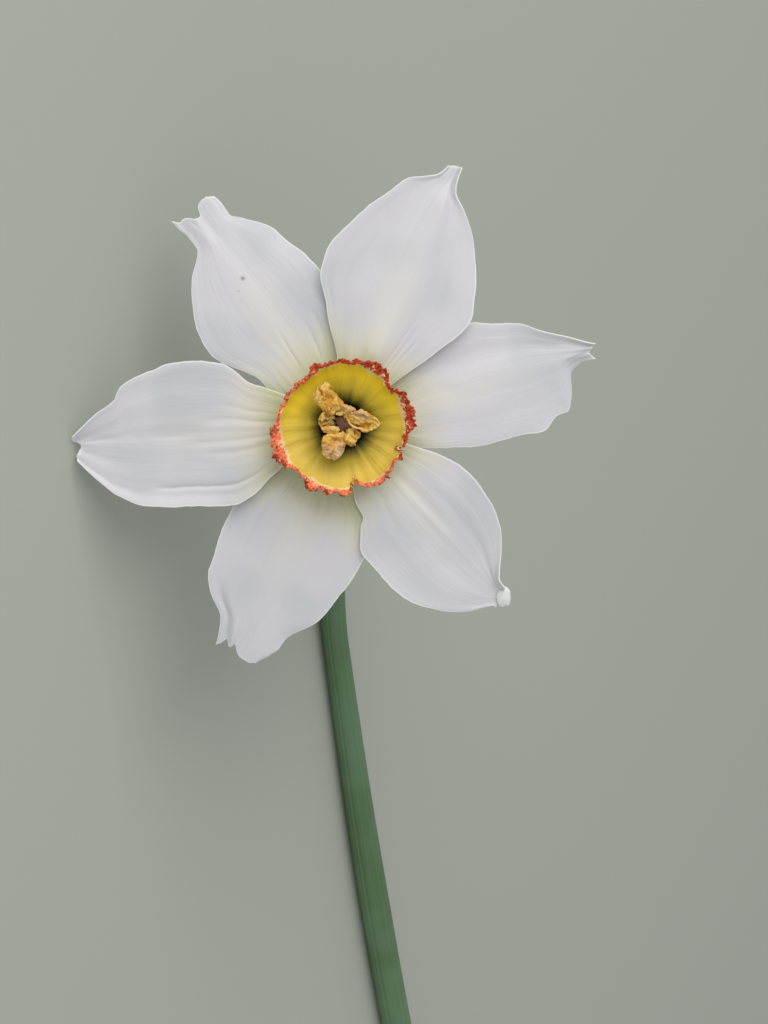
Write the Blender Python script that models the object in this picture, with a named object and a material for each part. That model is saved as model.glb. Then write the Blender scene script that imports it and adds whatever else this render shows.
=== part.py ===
"""A pheasant's-eye narcissus: one cut flower on its stem, lying on a table.

Blender works in metres here, +Z is up, and the table is the plane Z = 0. The sizes below
are in millimetres and are turned to metres where a mesh is made. The stem lies along X on
its flat underside, with the cut end at -X. The short stalk at its top bends up and sideways,
so the flower looks up at a slant and the tip of its lowest tepal rests on the table.

The flower head has a frame of its own: X to the flower's right, Y to its top and Z along its
axis, out of its face. The tepals meet the floral tube at that frame's origin.
"""
import math
import random
from bisect import bisect_right
from collections import namedtuple

import bmesh
import bpy
from mathutils import Matrix, Vector

MM = 0.001
SEAT = 0.3                      # gap between a piece and what it sits on

# How the flower lies
HEAD_BEND = math.radians(70)    # turn of the stalk from the stem to the flower's axis
HEAD_LEAN = math.radians(55)    # lean of the head from upright towards +Y
HEAD_TURN = math.radians(-6.5)  # turn of the head about its own axis
RESTING_TEPAL = "tepal_inner_3"

# Stem and stalk. The half sizes are by distance back from the stem's top.
REST_POINT = 60.0               # from the stem's top back to the origin, on its underside
STEM_HALF_WIDTH = [(0.0, 1.25), (3.0, 1.7), (30.0, 1.85), (80.0, 2.4), (170.0, 2.55)]
STEM_HALF_HEIGHT = [(0.0, 1.25), (3.0, 1.6), (26.0, 1.7), (80.0, 2.1), (170.0, 2.2)]
STEM_SIDES = 12
STEM_SWAY = 9.0                 # sideways sweep of the stem along the table
STEM_SWAY_START = 45.0
STEM_SWAY_RUN = 170.0
STEM_LIFT_RUN = 26.0            # the stem leaves the table this far before its top
STEM_STATIONS = (170, 150, 130, 112, 95, 80, 68, 56, 45, 35, 26, 22, 18, 14, 10, 6, 3, 1.2, 0)
HOLLOW_RADIUS = 0.9             # hollow pith at the cut end
HOLLOW_DEPTH = 8.0
STALK_RADIUS = 1.2
STALK_REACH = 16.5              # from the stem's top to the ovary: along the stem,
STALK_RISE = 5.9                # towards the lean,
STALK_SIDE = 3.4                # and to the side
STALK_HANDLES = (11.0, 5.0)     # how far the stalk runs on before it bends, at each end
STALK_STEPS = 9

# Spathe, the dry bract round the foot of the stalk
SPATHE_LENGTH = 27.5
SPATHE_RISE = 2.5
SPATHE_THICKNESS = 0.65
SPATHE_FOOT = 0.6               # it starts this far past the stem's top
SPATHE_RADIUS = [(0.0, 1.85), (0.12, 2.05), (0.45, 2.9), (0.75, 2.4), (1.0, 0.8)]
SPATHE_HALF_ANGLE = [(0.0, 165), (0.15, 150), (0.35, 120), (0.6, 95), (0.85, 75), (1.0, 50)]
SPATHE_STEPS = (14, 8)

# Ovary and floral tube: outer and inner radius by height on the flower's axis
OVARY_LENGTH = 7.5
TUBE_LENGTH = 20.0
TUBE_MOUTH = 1.35               # height of the mouth's rim over the tepals' plane
TUBE_SIDES = 18
OVARY_LOBES = 3
OVARY_LOBE_DEPTH = 0.07
TUBE_OUTER = [(-27.5, 1.2), (-26.6, 1.7), (-25.2, 2.25), (-23.2, 2.45), (-21.4, 2.1),
              (-20.0, 1.6), (-18.0, 1.4), (-8.0, 1.45), (-4.5, 1.75), (-2.4, 2.4), (-1.2, 3.0),
              (0.3, 3.1), (TUBE_MOUTH, 3.05)]
TUBE_INNER = [(TUBE_MOUTH, 2.35), (0.2, 2.3), (-1.6, 1.85), (-4.5, 1.15), (-8.0, 0.95), (-18.5, 0.95)]

# Stamens: three long ones over the outer tepals, three short ones between them. The run and
# the rise are the anther's own, from its foot outwards and upwards; the rest are places.
Stamen = namedtuple("Stamen", "half_width foot run rise root joint")
LONG_STAMEN = Stamen(1.25, (1.35, 4.0), 3.3, -0.1, (2.15, -1.4), 0.2)
SHORT_STAMEN = Stamen(0.95, (1.5, 1.2), 0.3, 2.4, (1.75, -3.0), 0.3)
ANTHER_SIDES = 8
ANTHER_RINGS = 7
ANTHER_BLUNT = 0.42             # half width at an anther's ends, as a share of its middle's
ANTHER_FURROW = 0.14
ANTHER_CRUMPLE = 0.12
FILAMENT_RADIUS = 0.32
FILAMENT_SIDES = 6

# Pistil: radius by height for the style, then share of the stigma's radius by rise
PISTIL_SIDES = 12
STYLE = [(-18.0, 0.4), (-6.0, 0.4), (3.1, 0.4)]
STIGMA_HEIGHT = 4.3
STIGMA_RADIUS = 0.85
STIGMA = [(-0.7, 0.7), (-0.25, 1.0), (0.15, 0.95), (0.45, 0.5)]
STIGMA_LOBES = 3
STIGMA_LOBE_DEPTH = 0.2
CLUSTER_SHIFT = 0.4             # stigma and anthers sit this far towards the flower's top

# Corona: profile of its middle surface, radius by height
CORONA_STEPS = 72
CORONA_THICKNESS = 0.62
CORONA_PROFILE = [(2.72, 1.97), (3.5, 2.1), (4.5, 2.25), (5.5, 2.6), (6.35, 3.15), (6.85, 3.75),
                  (7.15, 4.25)]
CORONA_OUTLINE = [(-180, 0.25), (-157, 0.5), (-125, -0.1), (-96, 0.05), (-72, -0.6), (-50, -0.4),
                  (-20, -0.5), (-5, 0.0), (14, 0.35), (33, -0.1), (60, 0.3), (90, 0.3), (110, 0.0),
                  (150, -0.05), (180, 0.25)]  # how much farther out the rim is, by angle
CORONA_RIBS = 24
CORONA_RIB_DEPTH = 0.09
CORONA_FRILL = 0.24
CORONA_SLIT_ANGLE = -80.0
CORONA_SLIT_WIDTH = 0.09
CORONA_SLIT_DEPTH = 1.1

# Tepals. A margin is the half width by distance from the flower's axis. The tip is how far
# the end draws back across its width, from the clockwise corner (-1) to the other one (1).
TEPAL_THICKNESS = 0.65
TEPAL_STEPS = (18, 8)
TEPAL_START = 3.45
MIDRIB_HEIGHT = 0.22
INNER_LEVEL = 0.95              # height of the front whorl over the tepals' plane
OUTER_LEVEL = -0.5
Tepal = namedtuple("Tepal", "name angle level reach left right tip reflex cup twist ruffle")
TEPALS = [
    Tepal("tepal_inner_1", 66.3, INNER_LEVEL, 30.5,
          [(3.4, 1.5), (6.8, 3.6), (9.9, 6.3), (13.6, 8.9), (16.7, 9.2), (21.7, 7.5), (27.2, 4.4),
           (29.2, 1.5), (30.5, 0.8)],
          [(3.4, 1.5), (7.1, 3.7), (11.7, 6.4), (16.0, 8.2), (21.7, 6.2), (26.3, 2.9), (27.8, 1.2),
           (30.5, 0.6)],
          [(-1.0, 0.0), (1.0, 0.3)], 1.6, (0.5, 0.2), 3.0, (0.30, 1.6, 0.4)),
    Tepal("tepal_outer_1", 16.0, OUTER_LEVEL, 29.2,
          [(3.4, 1.4), (8.2, 4.6), (12.5, 6.5), (16.5, 6.6), (21.6, 5.0), (26.3, 2.2), (29.2, 0.4)],
          [(3.4, 1.4), (7.6, 5.0), (12.1, 6.4), (18.6, 6.9), (21.3, 7.2), (24.3, 6.0), (25.6, 3.0),
           (26.4, 1.6), (29.2, 1.2)],
          [(-1.0, 0.4), (-0.25, 0.9), (0.25, 0.5), (1.0, 0.0)], 2.2, (-0.4, -0.5), -2.0,
          (0.35, 2.2, 2.1)),
    Tepal("tepal_inner_2", -47.9, INNER_LEVEL, 27.8,
          [(3.4, 1.5), (7.6, 4.5), (9.8, 5.7), (13.1, 6.7), (16.6, 6.4), (20.1, 5.2), (24.4, 1.4),
           (25.7, 0.7), (27.8, 0.7)],
          [(3.4, 1.5), (6.2, 3.6), (9.4, 5.8), (12.1, 8.1), (15.5, 8.4), (19.1, 8.1), (22.4, 6.4),
           (27.8, 1.0)],
          [(-1.0, 0.6), (0.0, 0.0), (1.0, 0.6)], 1.4, (0.3, 0.5), 2.0, (0.35, 1.8, 3.6)),
    Tepal("tepal_outer_2", -114.2, OUTER_LEVEL, 29.7,
          [(3.4, 1.4), (6.2, 5.0), (9.2, 7.6), (12.7, 8.5), (15.5, 8.2), (21.7, 6.9), (25.8, 4.3),
           (29.7, 3.0)],
          [(3.4, 1.4), (8.8, 5.5), (13.7, 7.4), (17.5, 7.3), (21.4, 6.8), (23.8, 5.7), (26.1, 3.5),
           (29.7, 2.6)],
          [(-1.0, 0.2), (-0.75, 1.5), (-0.5, 0.8), (-0.25, 1.3), (0.25, 0.1), (0.75, 0.3), (1.0, 1.6)],
          1.8, (-0.3, -0.3), 2.0, (0.30, 1.4, 5.2)),
    Tepal("tepal_inner_3", 184.6, INNER_LEVEL, 29.8,
          [(3.4, 1.5), (8.2, 5.1), (10.5, 7.1), (13.0, 8.1), (17.3, 7.8), (22.3, 7.4), (25.3, 6.1),
           (27.8, 4.0), (29.8, 1.9)],
          [(3.4, 1.5), (8.0, 4.7), (11.3, 7.2), (15.5, 8.2), (18.2, 8.2), (22.9, 6.4), (26.8, 3.2),
           (29.8, 0.9)],
          [(-1.0, 0.1), (-0.25, 0.0), (0.25, 0.7), (1.0, 0.3)], 1.2, (0.7, 0.2), -3.0,
          (0.30, 1.7, 0.9)),
    Tepal("tepal_outer_3", 125.2, OUTER_LEVEL, 28.6,
          [(3.4, 1.4), (7.5, 3.9), (13.0, 6.7), (16.3, 7.4), (20.5, 5.7), (24.7, 2.1), (26.7, 2.0),
           (28.6, 2.6)],
          [(3.4, 1.4), (6.0, 4.8), (9.0, 7.2), (12.0, 8.0), (14.6, 7.6), (17.7, 7.2), (21.9, 5.8),
           (25.8, 3.0), (28.6, 2.8)],
          [(-1.0, 0.5), (-0.5, 0.0), (-0.25, 0.4), (0.0, 1.5), (0.5, 0.6), (0.75, 0.6), (1.0, 0.0)],
          2.0, (-0.4, -0.3), 3.0, (0.35, 2.0, 4.4)),
]

COLOURS = {                     # base colour, roughness
    "tepal": ((0.78, 0.78, 0.82), 0.55),
    "corona": ((0.62, 0.43, 0.04), 0.5),
    "tube": ((0.32, 0.42, 0.16), 0.5),
    "pistil": ((0.42, 0.27, 0.13), 0.6),
    "stem": ((0.14, 0.24, 0.13), 0.5),
    "spathe": ((0.45, 0.33, 0.19), 0.75),
}


def clear_scene():
    """Removes every object that the file opened with."""
    for thing in list(bpy.data.objects):
        bpy.data.objects.remove(thing, do_unlink=True)


def material(name):
    """The Principled material of one kind of piece, made once."""
    if name in bpy.data.materials:
        return bpy.data.materials[name]
    colour, roughness = COLOURS[name]
    made = bpy.data.materials.new(name)
    made.use_nodes = True
    shader = made.node_tree.nodes["Principled BSDF"]
    shader.inputs["Base Color"].default_value = (*colour, 1.0)
    shader.inputs["Roughness"].default_value = roughness
    shader.inputs["Metallic"].default_value = 0.0
    return made


def smooth(stations, place):
    """Reads a smooth curve, with no overshoot, through a list of (place, value) stations."""
    places = [station[0] for station in stations]
    values = [station[1] for station in stations]
    if place <= places[0]:
        return values[0]
    if place >= places[-1]:
        return values[-1]

    def steepness(k):
        return (values[k + 1] - values[k]) / (places[k + 1] - places[k])

    def slope(k):
        before = steepness(max(k - 1, 0))
        after = steepness(min(k, len(places) - 2))
        return 2 * before * after / (before + after) if before * after > 0 else 0.0

    k = bisect_right(places, place) - 1
    run = places[k + 1] - places[k]
    t = (place - places[k]) / run
    return ((1 + 2 * t) * (1 - t) ** 2 * values[k] + t * (1 - t) ** 2 * run * slope(k)
            + t * t * (3 - 2 * t) * values[k + 1] + t * t * (t - 1) * run * slope(k + 1))


def straight(stations, place):
    """Reads a broken line through a list of (place, value) stations."""
    for (start, low), (end, high) in zip(stations, stations[1:]):
        if place <= end:
            return low + (high - low) * (place - start) / (end - start)
    return stations[-1][1]


def new_object(name, mesh, kind):
    """Links a mesh as an object of its own, smooth shaded, with its kind's material."""
    mesh.materials.append(material(kind))
    mesh.shade_smooth()
    mesh.set_sharp_from_angle(angle=math.radians(40))
    made = bpy.data.objects.new(name, mesh)
    bpy.context.scene.collection.objects.link(made)
    return made


def mesh_from(name, points, faces):
    """A mesh from points in millimetres and faces by index, with its normals outward."""
    mesh = bpy.data.meshes.new(name)
    mesh.from_pydata([point * MM for point in points], [], faces)
    shape = bmesh.new()
    shape.from_mesh(mesh)
    bmesh.ops.recalc_face_normals(shape, faces=shape.faces)
    bmesh.ops.triangulate(shape, faces=shape.faces, quad_method="FIXED")
    shape.to_mesh(mesh)
    shape.free()
    return mesh


def grid_faces(rows, columns, first, wrap):
    """Triangles over a grid of points, all quads split the same way."""
    faces = []
    for i in range(rows - 1):
        for j in range(columns if wrap else columns - 1):
            a = first + i * columns + j
            b = first + i * columns + (j + 1) % columns
            faces += [(a, b, b + columns), (a, b + columns, a + columns)]
    return faces


def blade(name, surface, thickness, wrap=False):
    """A thin closed solid whose middle surface is a grid of points.

    The grid is moved half a thickness to each side along its own normals. With wrap the
    last column meets the first one, as round a cup.
    """
    rows, columns = len(surface), len(surface[0])
    fronts, backs = [], []
    for i in range(rows):
        for j in range(columns):
            low, high = max(i - 1, 0), min(i + 1, rows - 1)
            if wrap:
                left, right = (j - 1) % columns, (j + 1) % columns
            else:
                left, right = max(j - 1, 0), min(j + 1, columns - 1)
            along = surface[high][j] - surface[low][j]
            across = surface[i][right] - surface[i][left]
            normal = along.cross(across).normalized()
            fronts.append(surface[i][j] + normal * thickness / 2)
            backs.append(surface[i][j] - normal * thickness / 2)
    points = fronts + backs
    back = rows * columns
    triangles = grid_faces(rows, columns, 0, wrap)
    triangles += [tuple(reversed(face)) for face in grid_faces(rows, columns, back, wrap)]
    for i in (0, rows - 1):
        for j in range(columns if wrap else columns - 1):
            a, b = i * columns + j, i * columns + (j + 1) % columns
            triangles += [(a, b, b + back), (a, b + back, a + back)]
    if not wrap:
        for j in (0, columns - 1):
            for i in range(rows - 1):
                a, b = i * columns + j, (i + 1) * columns + j
                triangles += [(a, b, b + back), (a, b + back, a + back)]
    return mesh_from(name, points, triangles)


def lathe(name, rings):
    """A closed solid from rings of points with the same count, each end closed flat."""
    columns = len(rings[0])
    points = [point for ring in rings for point in ring]
    faces = grid_faces(len(rings), columns, 0, True)
    last = (len(rings) - 1) * columns
    faces.append(tuple(range(columns)))
    faces.append(tuple(range(last, last + columns)))
    return mesh_from(name, points, faces)


def circle(radius, height, sides, lobes=0, depth=0.0):
    """A ring of points round the Z axis, waved into lobes where asked."""
    ring = []
    for k in range(sides):
        angle = 2 * math.pi * k / sides
        out = radius * (1 + depth * math.cos(lobes * angle)) if lobes else radius
        ring.append(Vector((out * math.cos(angle), out * math.sin(angle), height)))
    return ring


# ---------------------------------------------------------------- flower head

def stalk_frame():
    """Directions of the stalk: along the stem, towards the lean, and to the side."""
    along = Vector((1.0, 0.0, 0.0))
    lean = Vector((0.0, math.sin(HEAD_LEAN), math.cos(HEAD_LEAN)))
    return along, lean, along.cross(lean)


def head_rotation():
    """Turns the flower's own frame (right, top, axis) into the world's."""
    along, lean, side = stalk_frame()
    axis = along * math.cos(HEAD_BEND) + lean * math.sin(HEAD_BEND)
    over = along * math.sin(HEAD_BEND) - lean * math.cos(HEAD_BEND)
    frame = Matrix((side, over, axis)).transposed()
    return frame @ Matrix.Rotation(HEAD_TURN, 3, "Z")


def stalk_end():
    """From the stem's top to the stalk's own top, under the ovary."""
    along, lean, side = stalk_frame()
    return along * STALK_REACH + lean * STALK_RISE + side * STALK_SIDE


def head_offset():
    """From the stem's top to the flower's origin."""
    neck = SEAT + OVARY_LENGTH + TUBE_LENGTH
    return stalk_end() + head_rotation() @ Vector((0.0, 0.0, neck))


def tepal_point(tepal, u, v):
    """A point of a tepal's middle surface: u runs from foot to tip, v across it."""
    place = TEPAL_START + (tepal.reach - TEPAL_START) * u
    margin = tepal.left if v > 0 else tepal.right
    side = smooth(margin, place) * v
    place -= straight(tepal.tip, v) * u ** 8
    reach = place / tepal.reach
    cup = tepal.cup[0] if v > 0 else tepal.cup[1]
    size, waves, phase = tepal.ruffle
    height = tepal.level - tepal.reflex * reach ** 2
    height += cup * v * v * reach
    height += MIDRIB_HEIGHT * max(0.0, 1 - TEPAL_STEPS[1] * abs(v) / 2) * (1 - u)
    height += math.tan(math.radians(tepal.twist)) * side * reach
    height += size * v * abs(v) * math.sin(2 * math.pi * waves * u + phase) * reach ** 2
    turn = math.radians(tepal.angle)
    return Vector((place * math.cos(turn) - side * math.sin(turn),
                   place * math.sin(turn) + side * math.cos(turn), height))


def make_tepal(tepal):
    """One petal-like tepal, cut to its own margins and tip."""
    rows, columns = TEPAL_STEPS
    surface = [[tepal_point(tepal, i / rows, -1 + 2 * j / columns) for j in range(columns + 1)]
               for i in range(rows + 1)]
    return new_object(tepal.name, blade(tepal.name, surface, TEPAL_THICKNESS), "tepal")


def corona_point(share, angle):
    """A point of the corona's middle surface: share runs from its foot to its rim."""
    step = share * (len(CORONA_PROFILE) - 1)
    radius = smooth([(k, out) for k, (out, _) in enumerate(CORONA_PROFILE)], step)
    height = smooth([(k, up) for k, (_, up) in enumerate(CORONA_PROFILE)], step)
    rim = share ** 6
    radius += smooth(CORONA_OUTLINE, math.degrees(math.remainder(angle, 2 * math.pi))) * share ** 3
    frill = math.sin(17 * angle + 0.6) + 0.7 * math.sin(29 * angle + 2.2)
    ribs = math.cos(CORONA_RIBS * angle) * CORONA_RIB_DEPTH * share
    off_slit = math.remainder(angle - math.radians(CORONA_SLIT_ANGLE), 2 * math.pi)
    slit = CORONA_SLIT_DEPTH * rim * math.exp(-(off_slit / CORONA_SLIT_WIDTH) ** 2)
    radius += 0.5 * CORONA_FRILL * rim * frill - 0.6 * slit
    height += ribs + 0.4 * CORONA_FRILL * rim * math.sin(23 * angle + 1.1) - 0.8 * slit
    return Vector((radius * math.cos(angle), radius * math.sin(angle), height))


def make_corona():
    """The ribbed cup with its crisped rim, round the tube's mouth."""
    rows = len(CORONA_PROFILE)
    surface = [[corona_point(i / (rows - 1), 2 * math.pi * j / CORONA_STEPS)
                for j in range(CORONA_STEPS)] for i in range(rows)]
    return new_object("corona", blade("corona", surface, CORONA_THICKNESS, wrap=True), "corona")


def anther(name, foot, tip, half_width, dice):
    """A dried, crumpled anther between two points, with a furrow between its two halves."""
    along = (tip - foot).normalized()
    across = along.cross(Vector((0.0, 0.0, 1.0))).normalized()
    over = across.cross(along)
    rings = []
    for i in range(ANTHER_RINGS):
        share = i / (ANTHER_RINGS - 1)
        swell = ANTHER_BLUNT + (1 - ANTHER_BLUNT) * math.sin(math.pi * share) ** 0.7
        middle = foot.lerp(tip, share) + over * dice.uniform(-ANTHER_CRUMPLE, ANTHER_CRUMPLE)
        ring = []
        for k in range(ANTHER_SIDES):
            angle = 2 * math.pi * k / ANTHER_SIDES
            out = half_width * swell * (1 - ANTHER_FURROW * (1 - math.cos(2 * angle)))
            out *= 1 + dice.uniform(-ANTHER_CRUMPLE, ANTHER_CRUMPLE)
            ring.append(middle + (across * math.cos(angle) + over * math.sin(angle)) * out)
        rings.append(ring)
    return new_object(name, lathe(name, rings), "tube")


def filament(name, foot, tip):
    """The thin stalk of a stamen, from inside the tube's wall into the anther."""
    along = (tip - foot).normalized()
    across = along.orthogonal().normalized()
    over = along.cross(across)
    rings = []
    for end in (foot, tip):
        ring = []
        for k in range(FILAMENT_SIDES):
            angle = 2 * math.pi * k / FILAMENT_SIDES
            ring.append(end + (across * math.cos(angle) + over * math.sin(angle)) * FILAMENT_RADIUS)
        rings.append(ring)
    return new_object(name, lathe(name, rings), "tube")


def make_stamens():
    """Six stamens, as loose solids that the tube is joined with."""
    dice = random.Random(7)
    made = []
    for tepal in TEPALS:
        stamen = LONG_STAMEN if tepal.level == OUTER_LEVEL else SHORT_STAMEN
        turn = math.radians(tepal.angle)
        out = Vector((math.cos(turn), math.sin(turn), 0.0))
        foot = out * stamen.foot[0] + Vector((0.0, CLUSTER_SHIFT, stamen.foot[1]))
        tip = foot + out * stamen.run + Vector((0.0, 0.0, stamen.rise))
        root = out * stamen.root[0] + Vector((0.0, 0.0, stamen.root[1]))
        made.append(anther("anther", foot, tip, stamen.half_width, dice))
        made.append(filament("filament", root, foot.lerp(tip, stamen.joint)))
    return made


def make_floral_tube():
    """Ovary, floral tube and stamens, which are one grown piece."""
    rings = [circle(radius, height, TUBE_SIDES, OVARY_LOBES,
                    OVARY_LOBE_DEPTH if height < -TUBE_LENGTH - 1 else 0.0)
             for height, radius in TUBE_OUTER]
    rings += [circle(radius, height, TUBE_SIDES) for height, radius in TUBE_INNER]
    tube = new_object("floral_tube", lathe("floral_tube", rings), "tube")
    stamens = make_stamens()
    group = bpy.data.collections.new("stamens")
    for piece in stamens:
        group.objects.link(piece)
    union = tube.modifiers.new("stamens", "BOOLEAN")
    union.operation = "UNION"
    union.solver = "EXACT"
    union.use_self = True
    union.operand_type = "COLLECTION"
    union.collection = group
    joined = bpy.data.meshes.new_from_object(tube.evaluated_get(bpy.context.evaluated_depsgraph_get()))
    tube.modifiers.remove(union)
    tube.data = joined
    for piece in stamens:
        bpy.data.objects.remove(piece, do_unlink=True)
    bpy.data.collections.remove(group)
    return tube


def make_pistil():
    """The style up the middle of the tube, with its three-lobed stigma."""
    rings = [circle(radius, height, PISTIL_SIDES) for height, radius in STYLE]
    rings += [circle(STIGMA_RADIUS * share, STIGMA_HEIGHT + rise, PISTIL_SIDES, STIGMA_LOBES,
                     STIGMA_LOBE_DEPTH) for rise, share in STIGMA]
    for ring in rings[2:]:
        for point in ring:
            point.y += CLUSTER_SHIFT
    return new_object("pistil", lathe("pistil", rings), "pistil")


# ---------------------------------------------------------------- stem and spathe

def stem_sway(back):
    """How far the stem has swept to the side, at a distance back from its top."""
    run = max(0.0, back - STEM_SWAY_START) / STEM_SWAY_RUN
    return -STEM_SWAY * (1 - math.cos(math.pi * run)) / 2


def stem_centre(back, top_height):
    """Centre of the stem at a distance back from its top."""
    on_table = smooth(STEM_HALF_HEIGHT, back) * math.cos(math.pi / STEM_SIDES)
    lift = max(0.0, 1 - back / STEM_LIFT_RUN)
    height = on_table + (top_height - on_table) * lift * lift * (3 - 2 * lift)
    return Vector((REST_POINT - back, stem_sway(back) - stem_sway(REST_POINT), height))


def stalk_centre(top, share):
    """Centre of the stalk, on a smooth bend from the stem's top to the ovary's foot."""
    end = top + stalk_end()
    first = top + Vector((STALK_HANDLES[0], 0.0, 0.0))
    second = end - head_rotation() @ Vector((0.0, 0.0, STALK_HANDLES[1]))
    rest = 1 - share
    return (top * rest ** 3 + first * 3 * rest * rest * share
            + second * 3 * rest * share * share + end * share ** 3)


def make_stem(top_height):
    """The stem with its hollow cut end, its flat underside and the bent stalk at its top."""
    centres, halves = [], []
    for back in STEM_STATIONS:
        centres.append(stem_centre(back, top_height))
        halves.append((smooth(STEM_HALF_WIDTH, back), smooth(STEM_HALF_HEIGHT, back)))
    top = centres[-1]
    for k in range(1, STALK_STEPS + 1):
        centres.append(stalk_centre(top, k / STALK_STEPS))
        halves.append((STALK_RADIUS, STALK_RADIUS))
    rings = []
    for i, centre in enumerate(centres):
        ahead = centres[min(i + 1, len(centres) - 1)] - centres[max(i - 1, 0)]
        if i == len(centres) - 1:
            ahead = head_rotation() @ Vector((0.0, 0.0, 1.0))
        if i < len(STEM_STATIONS) and STEM_STATIONS[i] >= STEM_LIFT_RUN:
            ahead.z = 0.0
        aside = Vector((0.0, 0.0, 1.0)).cross(ahead).normalized()
        over = ahead.cross(aside).normalized()
        ring = []
        for k in range(STEM_SIDES):
            angle = 2 * math.pi * (k + 0.5) / STEM_SIDES
            ring.append(centre + aside * halves[i][0] * math.cos(angle)
                        + over * halves[i][1] * math.sin(angle))
        rings.append(ring)
    inward = (centres[1] - centres[0]).normalized()
    hollow = [[centres[0] + inward * depth + (point - centres[0]).normalized() * HOLLOW_RADIUS
               for point in rings[0]] for depth in (HOLLOW_DEPTH, 0.0)]
    return new_object("scape", lathe("scape", hollow + rings), "stem")


def make_spathe(top):
    """The dry bract: a channel round the foot of the stalk, split on the side it bends to."""
    rows, columns = SPATHE_STEPS
    along, lean, side = stalk_frame()
    split = (lean * STALK_RISE + side * STALK_SIDE * 0.5).normalized()
    aside = along.cross(split)
    surface = []
    for i in range(rows + 1):
        share = i / rows
        centre = top + along * (SPATHE_FOOT + SPATHE_LENGTH * share)
        centre.z += SPATHE_RISE * share ** 2
        radius = smooth(SPATHE_RADIUS, share)
        half_angle = math.radians(smooth(SPATHE_HALF_ANGLE, share))
        row = []
        for j in range(columns + 1):
            angle = half_angle * (-1 + 2 * j / columns)
            row.append(centre + (aside * math.sin(angle) - split * math.cos(angle)) * radius)
        surface.append(row)
    return new_object("spathe", blade("spathe", surface, SPATHE_THICKNESS), "spathe")


def main():
    """Builds the flower and sets it down on the table."""
    clear_scene()
    pieces = [make_tepal(tepal) for tepal in TEPALS]
    pieces += [make_corona(), make_floral_tube(), make_pistil()]
    turn = head_rotation()
    resting = next(piece for piece in pieces if piece.name == RESTING_TEPAL)
    head_height = -min((turn @ vertex.co).z for vertex in resting.data.vertices) / MM
    offset = head_offset()
    top_height = head_height - offset.z
    top = stem_centre(0.0, top_height)
    head = bpy.data.objects.new("flower_head", None)
    bpy.context.scene.collection.objects.link(head)
    head.matrix_world = Matrix.Translation((top + offset) * MM) @ turn.to_4x4()
    for piece in pieces:
        piece.parent = head
    make_stem(top_height)
    make_spathe(top)
    bpy.context.view_layer.update()


main()
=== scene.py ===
"""A pheasant's-eye narcissus, cut and laid down: its surfaces, finishes, light and camera.

Lengths are in millimetres unless a comment says otherwise, and become metres where a mesh is
made. The flower head has a frame of its own: X to the flower's right, Y to its top and Z
along its axis, out of its face, with the tepals' plane at Z = 0.
"""
import logging
import math
from bisect import bisect_right
from collections.abc import Callable, Sequence
from dataclasses import dataclass, field
from enum import Enum

import bmesh
import bpy
from mathutils import Matrix, Vector, noise


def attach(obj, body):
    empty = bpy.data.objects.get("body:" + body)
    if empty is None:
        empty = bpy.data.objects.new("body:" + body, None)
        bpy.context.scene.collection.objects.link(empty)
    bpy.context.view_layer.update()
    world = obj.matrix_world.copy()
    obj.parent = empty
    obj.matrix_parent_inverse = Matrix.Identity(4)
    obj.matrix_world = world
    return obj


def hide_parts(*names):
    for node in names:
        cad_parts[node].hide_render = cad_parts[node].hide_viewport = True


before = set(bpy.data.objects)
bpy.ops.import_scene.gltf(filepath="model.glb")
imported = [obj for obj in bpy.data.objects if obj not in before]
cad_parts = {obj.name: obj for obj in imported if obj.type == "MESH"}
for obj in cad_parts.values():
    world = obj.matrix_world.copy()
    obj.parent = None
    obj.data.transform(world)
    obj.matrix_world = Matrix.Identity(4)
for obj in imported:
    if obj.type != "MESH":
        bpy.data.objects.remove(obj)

log = logging.getLogger("narcissus")

MM = 0.001
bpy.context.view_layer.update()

Station = tuple[float, float]
Stations = Sequence[Station]
Grid = list[list[Vector]]
Colour = tuple[float, float, float, float]

# How the flower lies: the same sizes as its solids have
HEAD_BEND = math.radians(70)
HEAD_LEAN = math.radians(55)
HEAD_TURN = math.radians(-6.5)
REST_POINT = 60.0
REST_HEIGHT = 3.763
STALK_REACH = 16.5
STALK_RISE = 5.9
STALK_SIDE = 3.4
NECK = 27.8                     # from the stalk's top to the tepals' plane

# Counts and seeds
STEM_SIDES = 48
STEM_RIBS = 16
NOISE_SEED = 3                  # without one, noise vectors differ from run to run
CROWDING = 0.92                 # how much closer a tepal's columns lie at its margins, below 1
GRAIN_SHIFT = 7.3               # step between the tepals in their tissue's noise


# ---------------------------------------------------------------- curves and frames

def smooth(stations: Stations, place: float) -> float:
    """Reads a smooth curve, with no overshoot, through (place, value) stations.

    Args:
        stations: the curve's points, by rising place.
        place: where to read it. Past either end, the end's value holds.

    Returns:
        The curve's value there.
    """
    places = [station[0] for station in stations]
    values = [station[1] for station in stations]
    if place <= places[0]:
        return values[0]
    if place >= places[-1]:
        return values[-1]

    def steepness(k: int) -> float:
        """Rise over run from a station to the next one."""
        return (values[k + 1] - values[k]) / (places[k + 1] - places[k])

    def slope(k: int) -> float:
        """The curve's slope at a station: 0 where it turns.

        Args:
            k: the station's index.

        Returns:
            The harmonic mean of the steepness on both sides.
        """
        before = steepness(max(k - 1, 0))
        after = steepness(min(k, len(places) - 2))
        return 2 * before * after / (before + after) if before * after > 0 else 0.0

    k = bisect_right(places, place) - 1
    run = places[k + 1] - places[k]
    t = (place - places[k]) / run
    return ((1 + 2 * t) * (1 - t) ** 2 * values[k] + t * (1 - t) ** 2 * run * slope(k)
            + t * t * (3 - 2 * t) * values[k + 1] + t * t * (t - 1) * run * slope(k + 1))


def step(low: float, high: float, value: float) -> float:
    """Runs smoothly from 0 at low to 1 at high."""
    t = min(max((value - low) / (high - low), 0.0), 1.0)
    return t * t * (3 - 2 * t)


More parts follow.
